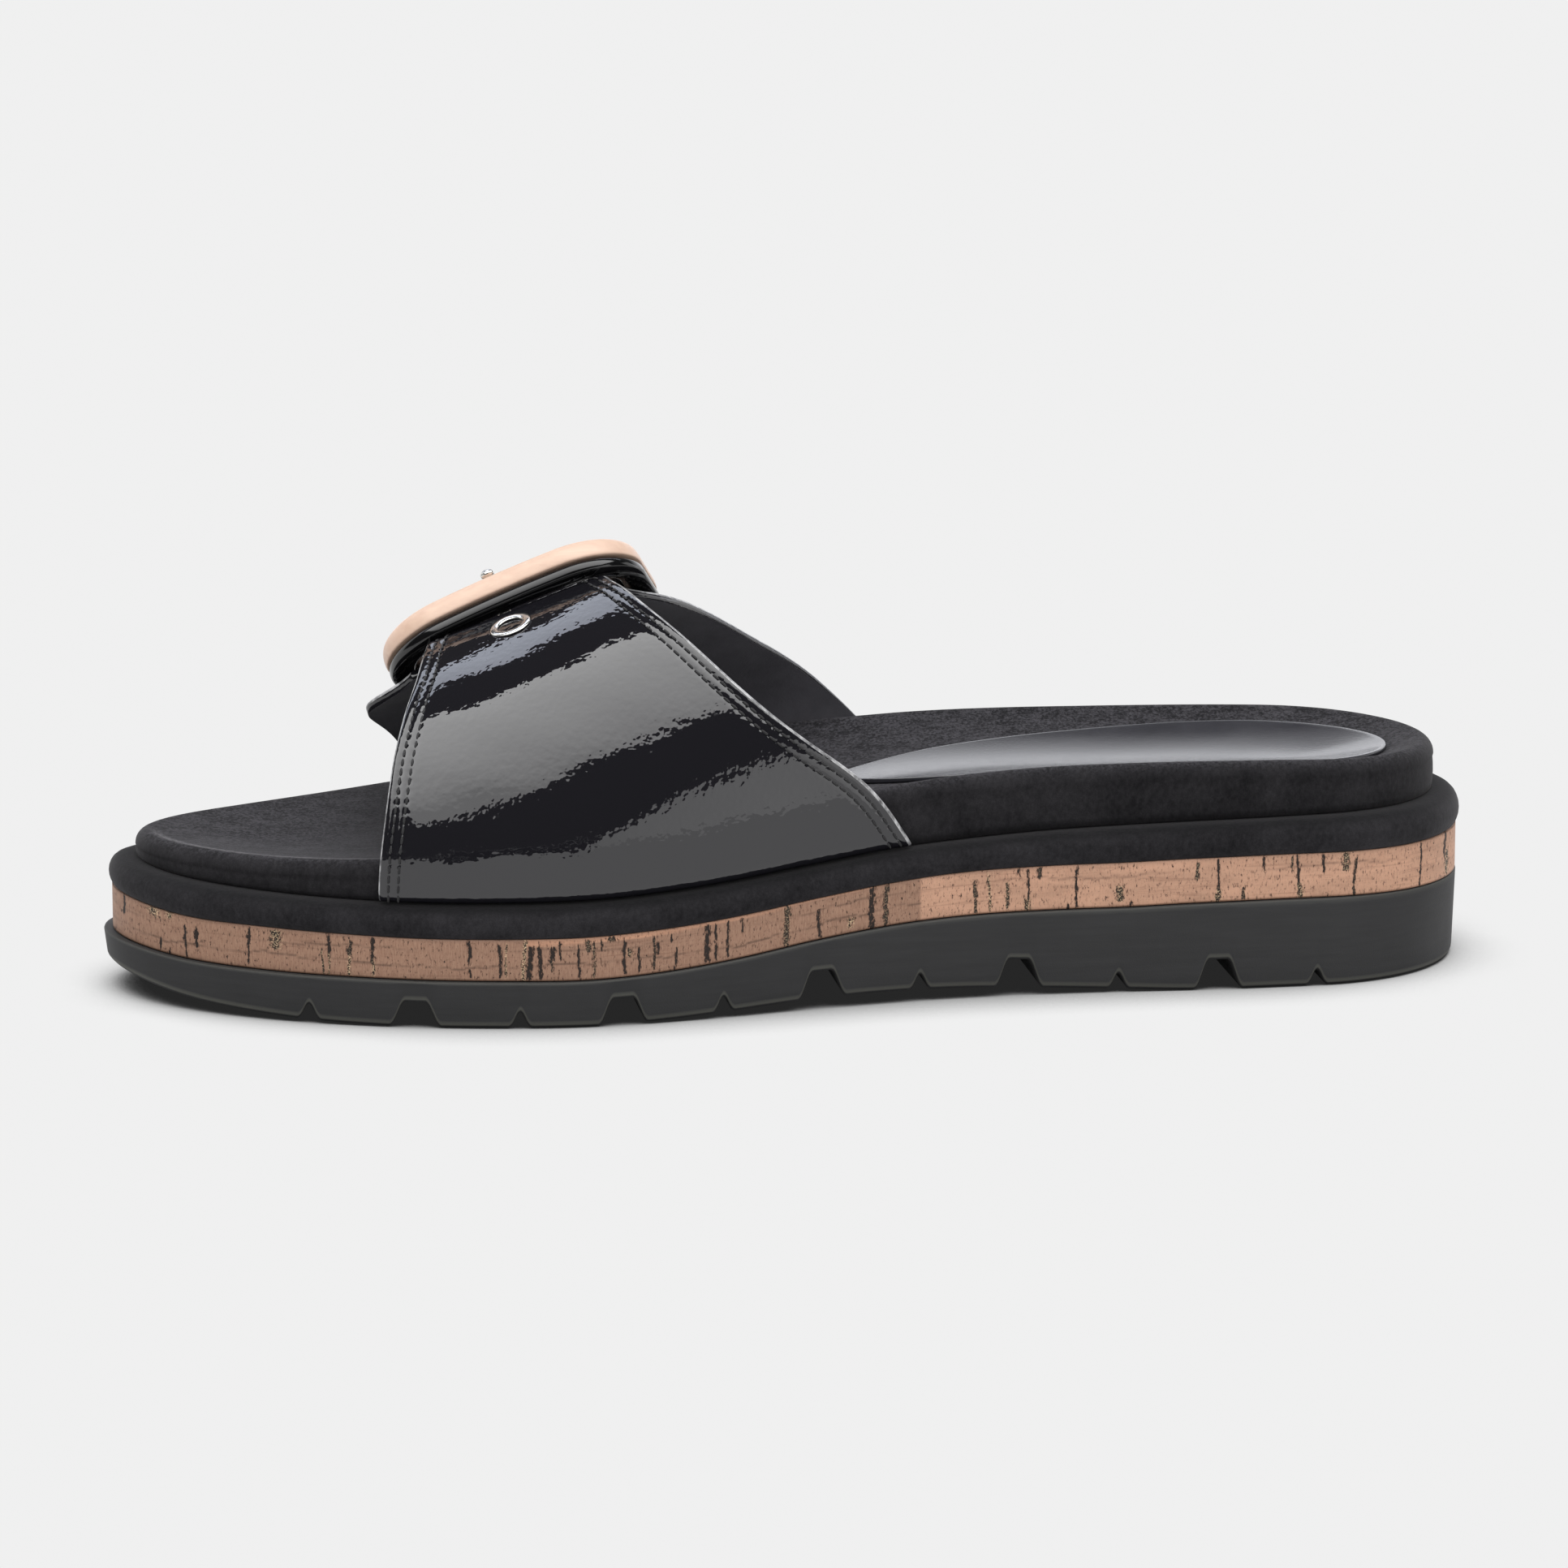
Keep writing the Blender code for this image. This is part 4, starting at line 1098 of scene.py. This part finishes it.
def build_panel(name, rows_between, front_x, rear_x, raise_by, wall_by, looks, sewn_rows):
    """Strap panel between two table rows. Returns its seams and its outer grid."""
    first, last = rows_between
    position = even_rows(first, last)
    x, away = panel_columns(position, front_x(position), rear_x(position))
    rows, columns = x.shape
    plain = strap_points(position, x)
    crest = window(CREST_ROWS, position)[:, None, None]
    base = softened(plain, SOFT_ROWS) * (1.0 - crest) + softened(plain, CREST_SOFT_ROWS) * crest
    normal = unit(np.cross(np.gradient(base, axis=1), np.gradient(base, axis=0)))
    sewn = window(sewn_rows, position)[:, None]
    lift = raise_by(position)[:, None]
    rise = panel_relief(base, x, away, sewn, first == 0.0)
    outer = base + normal * (rise + lift)[:, :, None]
    inner = base + normal * (lift - wall_by(position)[:, None])[:, :, None]
    if first == 0.0:
        inner[0, :, 2] = outer[0, :, 2]
    if last == len(STRAP) - 1.0:
        inner[-1, :, 2] = outer[-1, :, 2]
    skin, under, brink = panel_faces(rows, columns)
    lane = np.arange(columns - 1)
    # painted highlight on the lanes at both edges of the skin
    cut = np.where((lane < HIGHLIGHT_LANES[0]) | (lane >= columns - 1 - HIGHLIGHT_LANES[1]), 2, 0)
    face_looks = cut.tolist() * (rows - 1) + [1] * len(under) + [0] * len(brink)
    points = np.vstack((outer.reshape(-1, 3), inner.reshape(-1, 3)))
    piece(name, points, skin + under + brink, looks, ("upper",), "patent_leather", face_looks)
    keep = sewn[:, 0] > 0.5
    lines = [EDGE_STEPS.index(seam) for seam in SEAM_PLACES]
    seams = [(outer[keep, c], normal[keep, c]) for i in lines for c in (i, columns - 1 - i)]
    return seams, (position, x, outer, normal)


def build_stitches(name, seams, look):
    """Short thread loops laid along the sewn channels."""
    shape = []
    for t in np.linspace(0.0, math.pi, STITCH_RINGS):
        radius = max(math.sin(t), 0.12) ** 0.7 * STITCH_WIDTH
        for angle in turn(STITCH_SIDES):
            shape.append((-math.cos(t) * STITCH_LENGTH / 2.0, radius * math.cos(angle) / 2.0,
                          radius * math.sin(angle) * 0.36))
    shape = np.array(shape)
    shape_faces = tube_faces(STITCH_RINGS, STITCH_SIDES)
    points = []
    faces = []
    for line, normals in seams:
        run = run_along(line)
        for place in np.arange(STITCH_PITCH / 2.0, run[-1], STITCH_PITCH):
            up = unit(at(place, run, normals))
            ahead = at(place + 0.4, run, line) - at(place - 0.4, run, line)
            ahead = unit(ahead - up * ahead.dot(up))
            start = len(points) * len(shape)
            centre = at(place, run, line) + up * STITCH_RISE
            points.append(centre + shape @ np.array((ahead, np.cross(up, ahead), up)))
            faces += [tuple(start + i for i in face) for face in shape_faces]
    piece(name, np.vstack(points), faces, [look], slot="patent_leather")


def build_upper(patent, lining, cut, thread):
    """Inner panel with its tail over the outer panel. Returns the inner panel's outer grid."""
    def tail_edge(index, tail_index, position):
        wide, tail = strap_column(index, position), strap_column(tail_index, position)
        edge = wide + (tail - wide) * ease(*NARROW_ACROSS, strap_column(ACROSS, position))
        middle = (strap_column(TAIL_FRONT, position) + strap_column(TAIL_REAR, position)) / 2.0
        tip = np.sqrt(np.clip(1.0 - ease(*TIP_ROWS, position) ** 2 * TIP_ROUND, 0.0, 1.0))
        return middle + (edge - middle) * tip

    def over(position):
        return ease(*OVER_ACROSS, strap_column(ACROSS, position))

    # the third look is the painted highlight of the rolled edges
    looks = [patent, lining, cut]
    inner_seams, grid = build_panel(
        "strap_inner", INNER_ROWS,
        lambda p: tail_edge(FRONT, TAIL_FRONT, p), lambda p: tail_edge(REAR, TAIL_REAR, p),
        lambda p: TAIL_RAISE * over(p), lambda p: STRAP_WALL + (TAIL_WALL - STRAP_WALL) * over(p),
        looks, INNER_SEWN)
    outer_seams, _ = build_panel(
        "strap_outer", OUTER_ROWS,
        lambda p: strap_column(FRONT, p), lambda p: strap_column(REAR, p),
        np.zeros_like, lambda p: np.full_like(p, STRAP_WALL),
        looks, OUTER_SEWN)
    build_stitches("stitches_inner", inner_seams, thread)
    build_stitches("stitches_outer", outer_seams, thread)
    return grid


# Buckle


def rounded(section, rounds=2):
    """Closed section with its corners cut twice, for a smooth edge."""
    points = np.array(section)
    for _ in range(rounds):
        ahead = np.roll(points, -1, axis=0)
        points = np.stack((0.75 * points + 0.25 * ahead, 0.25 * points + 0.75 * ahead), axis=1).reshape(-1, 2)
    return points


def on_buckle(points):
    """Points given along, across and over the buckle, put in place."""
    spin = Matrix.Rotation(math.radians(-BUCKLE_PITCH), 3, "Y") @ Matrix.Rotation(math.radians(-BUCKLE_TILT), 3, "X")
    spin = spin @ Matrix.Rotation(math.radians(BUCKLE_YAW), 3, "Z")
    return np.asarray(points) @ np.array(spin).T + np.array(BUCKLE_CENTRE)


def buckle_loop(inset):
    """Rounded rectangle with even points round its corners and along its sides."""
    half_long = BUCKLE_LENGTH / 2.0 - BUCKLE_CORNER
    half_wide = BUCKLE_WIDTH / 2.0 - BUCKLE_CORNER
    radius = BUCKLE_CORNER - inset
    corners = []
    for quarter, (sign_long, sign_wide) in enumerate(((1, 1), (-1, 1), (-1, -1), (1, -1))):
        angles = np.radians(np.linspace(90.0 * quarter, 90.0 * (quarter + 1), CORNER_POINTS))
        corners.append(np.column_stack((sign_long * half_long + radius * np.cos(angles),
                                        sign_wide * half_wide + radius * np.sin(angles))))
    inside = (np.arange(1, SIDE_STEPS) / SIDE_STEPS)[:, None]
    loop = []
    for corner, after in zip(corners, corners[1:] + corners[:1]):
        loop += [corner, corner[-1] + (after[0] - corner[-1]) * inside]
    return np.vstack(loop)


def arch(along):
    return -BUCKLE_ARCH * (2.0 * along / BUCKLE_LENGTH) ** 2


def build_ring(name, section, look, node, slot):
    rings = []
    for inset, height in rounded(section):
        loop = buckle_loop(inset)
        rings.append(on_buckle(np.column_stack((loop, height + arch(loop[:, 0])))))
    piece(name, np.vstack(rings), torus_faces(len(rings), len(rings[0])), [look], (node,), slot)


def build_fold(look):
    """End of the outer panel, folded round the hinge bar inside the buckle."""
    def squared(value):
        return math.copysign(abs(value) ** 0.8, value)

    points = []
    for share in np.linspace(-1.0, 1.0, FOLD_RINGS):
        along = FOLD_LONG / 2.0 * share
        size = math.sqrt(max(1.0 - abs(share) ** 40, 0.5))
        for angle in turn(FOLD_SIDES):
            points.append((along, FOLD_ACROSS + FOLD_WIDE / 2.0 * size * squared(math.cos(angle)),
                           FOLD_RISE + FOLD_HIGH / 2.0 * size * squared(math.sin(angle)) + arch(along)))
    faces = flipped(tube_faces(FOLD_RINGS, FOLD_SIDES))
    piece("strap_fold", on_buckle(points), faces, [look], slot="patent_leather")


def build_prong(look):
    fine = np.linspace(0.0, len(PRONG_PATH) - 1.0, PRONG_RINGS)
    path = np.column_stack([column(numbered(PRONG_PATH), c, fine) for c in (1, 2, 3)])
    path[:, 2] += arch(path[:, 0])
    ahead = unit(np.gradient(path, axis=0))
    up = unit(np.cross(ahead, (1.0, 0.0, 0.0)))
    radius = PRONG_RADIUS * np.sqrt(np.clip(1.0 - ease(*PRONG_TIP, fine) ** 2 * 0.85, 0.05, 1.0))
    path[:, 0] += PRONG_ASIDE
    points = []
    for centre, lift, size in zip(path, up, radius):
        for angle in turn(PRONG_SIDES):
            side = np.array((PRONG_FLAT * math.cos(angle), 0.0, 0.0))
            points.append(centre + size * (side + lift * math.sin(angle)))
    faces = tube_faces(PRONG_RINGS, PRONG_SIDES)
    piece("prong_pin", on_buckle(points), faces, [look], ("buckle_prong",), "bright_metal")


def build_eyelet(look, grid):
    """Eyelet set on the strap, at the nearest point of its outer grid."""
    position, x, outer, normals = grid
    row = np.argmin(np.abs(strap_column(ACROSS, position) - EYELET_ACROSS))
    spot = np.argmin(np.abs(x[row] - EYELET_X))
    normal = Vector(normals[row, spot])
    spin = np.array(Vector((0.0, 0.0, 1.0)).rotation_difference(normal).to_matrix())
    section = rounded(EYELET_SECTION)
    points = np.array([(r * math.cos(a), r * math.sin(a), h) for r, h in section for a in turn(EYELET_SIDES)])
    faces = torus_faces(len(section), EYELET_SIDES)
    piece("eyelet_ring", outer[row, spot] + points @ spin.T, faces, [look], ("eyelet",), "bright_metal")


# Studio


def staged(name, corners, look):
    """Flat polygon of the studio, which isn't part of the shoe."""
    mesh = bpy.data.meshes.new(name)
    mesh.from_pydata(corners, [], [tuple(range(len(corners)))])
    mesh.materials.append(look)
    made = bpy.data.objects.new(name, mesh)
    bpy.context.scene.collection.objects.link(made)
    return made


def card(name, corners, radiance, tint=(1.0, 1.0, 1.0)):
    """Light card that only reflections see. radiance is a number, or an axis, two places and the radiance at each."""
    look = bpy.data.materials.new(name)
    look.use_nodes = True
    look.node_tree.nodes.clear()
    tree = Tree(look.node_tree)
    if isinstance(radiance, tuple):
        axis, *ends = radiance
        coords = tree.node("ShaderNodeTexCoord").outputs["Object"]
        radiance = tree.remap(tree.node("ShaderNodeSeparateXYZ", i0=coords).outputs[axis], *ends)
    glow = tree.node("ShaderNodeEmission", Color=(*tint, 1.0), Strength=radiance)
    tree.node("ShaderNodeOutputMaterial", Surface=glow.outputs[0])
    made = staged(name, corners, look)
    made.visible_camera = False
    made.visible_diffuse = False
    made.visible_shadow = False
    made.visible_transmission = False


def upright(start, end, low, high):
    """Corners of an upright card over a line on the floor."""
    return [(*start, low), (*end, low), (*end, high), (*start, high)]


def build_cards():
    high = CARD_HEIGHT
    middle_x, middle_y = CARD_MIDDLE
    top = [(middle_x + x * high, middle_y + y * high, high) for x, y in CARD_TOP]
    card("card_top", top, ("Y", middle_y - 1.5 * high, middle_y, 1.55, 3.9))
    behind = [(-1.6, 0.52), (1.2, 0.52), (1.2, 0.92), (-1.6, 0.95)]
    card("card_behind", [(x, y * high, high) for x, y in behind], 2.8, (0.82, 0.87, 1.0))
    card("card_back", upright((-4.0, 3.0), (4.0, 3.0), 0.0, 1.05), ("Z", 0.0, 1.05, 1.5, 1.35), COOL)
    card("card_haze", upright((0.05, 0.35), (0.70, 0.35), 0.15, 0.62), ("Z", 0.15, 0.32, 1.3, 0.1), COOL)
    card("card_rear", [(0.113, 0.1, 0.072), (0.22, 0.1, 0.072), (0.22, 0.1, 0.2)], 1.8, COOL)
    card("card_left", upright((-1.2, 0.3), (-1.2, 2.2), 0.0, 0.9), 1.0)
    card("card_right", upright((1.8, 0.1), (1.8, 2.2), 0.0, 1.1), 1.0)
    side = [(0.006, 0.0), (0.68, 0.0), (0.68, 0.485), (0.036, 0.038)]
    card("card_side", [(x, CARD_SIDE, z) for x, z in side], ("X", 0.05, 0.45, 1.05, 1.45))
    dark = [(-6.0, -6.0), (6.0, -6.0), (6.0, CARD_SIDE), (-6.0, CARD_SIDE)]
    card("card_dark", [(x, y, 0.002) for x, y in dark], 0.02)


def build_world():
    """Soft light from above and in front, near dark in reflections and pale behind the shoe."""
    world = bpy.data.worlds.new("studio")
    bpy.context.scene.world = world
    world.use_nodes = True
    world.node_tree.nodes.clear()
    tree = Tree(world.node_tree)
    rays = tree.node("ShaderNodeLightPath").outputs
    coords = tree.node("ShaderNodeTexCoord").outputs["Generated"]
    split = tree.node("ShaderNodeSeparateXYZ", i0=coords).outputs
    above = tree.math("POWER", tree.math("MAXIMUM", split["Z"], 0.0), 2.0)
    front = tree.math("MINIMUM", split["Y"], 0.0)
    sky = tree.math("ADD", tree.math("MULTIPLY", above, SKY_ABOVE), tree.math("MULTIPLY", front, -SKY_FRONT))
    strength = tree.either(rays["Is Glossy Ray"], sky, SKY_IN_GLOSS)
    strength = tree.either(rays["Is Camera Ray"], strength, BACKDROP)
    glow = tree.node("ShaderNodeBackground", Color=(1.0, 1.0, 1.0, 1.0), Strength=strength)
    tree.node("ShaderNodeOutputWorld", Surface=glow.outputs[0])


def build_floor():
    near, far = FLOOR_REACH, 3.0 * FLOOR_REACH  # uneven, so that the diagonal of the quad is out of every view
    staged("floor", [(-near, -near, 0.0), (far, -near, 0.0), (far, near, 0.0), (-near, near, 0.0)], floor_look())


def build_camera():
    turn_by, tilt = math.radians(CAMERA_AZIMUTH), math.radians(CAMERA_ELEVATION)
    back = Vector((math.sin(turn_by) * math.cos(tilt), -math.cos(turn_by) * math.cos(tilt), math.sin(tilt)))
    right = Vector((math.cos(turn_by), math.sin(turn_by), 0.0))
    up = back.cross(right)
    data = bpy.data.cameras.new("camera")
    data.sensor_width = CAMERA_SENSOR
    data.lens = CAMERA_LENS
    camera = bpy.data.objects.new("camera", data)
    place = back * CAMERA_DISTANCE + up * CAMERA_UP + right * CAMERA_RIGHT
    spin = Matrix((right, up, back)).transposed().to_4x4()
    camera.matrix_world = Matrix.Translation(place) @ spin
    bpy.context.scene.collection.objects.link(camera)
    bpy.context.scene.camera = camera


def main():
    bpy.context.scene.view_settings.view_transform = "Standard"
    metal = metal_look()
    patent = patent_look()
    build_sole(rubber_look())
    build_cork(cork_look())
    build_wrap(suede_look("microfibre", WRAP_SIDE, WRAP_SHADED_TOP, 0.45))
    build_footbed(suede_look("footbed_microfibre", FOOTBED_SIDE, FOOTBED_LIT_TOP, 0.42))
    build_pad(pad_look())
    strap = build_upper(patent, lining_look(), edge_highlight_look(), thread_look())
    build_ring("buckle_lower", BASE_SECTION, gloss_look(), "buckle_base", "black_gloss")
    build_ring("buckle_upper", FACE_SECTION, beige_look(), "buckle_face", "beige_gloss")
    build_prong(metal)
    build_fold(patent)
    build_eyelet(metal, strap)
    build_floor()
    build_cards()
    build_world()
    build_camera()


main()
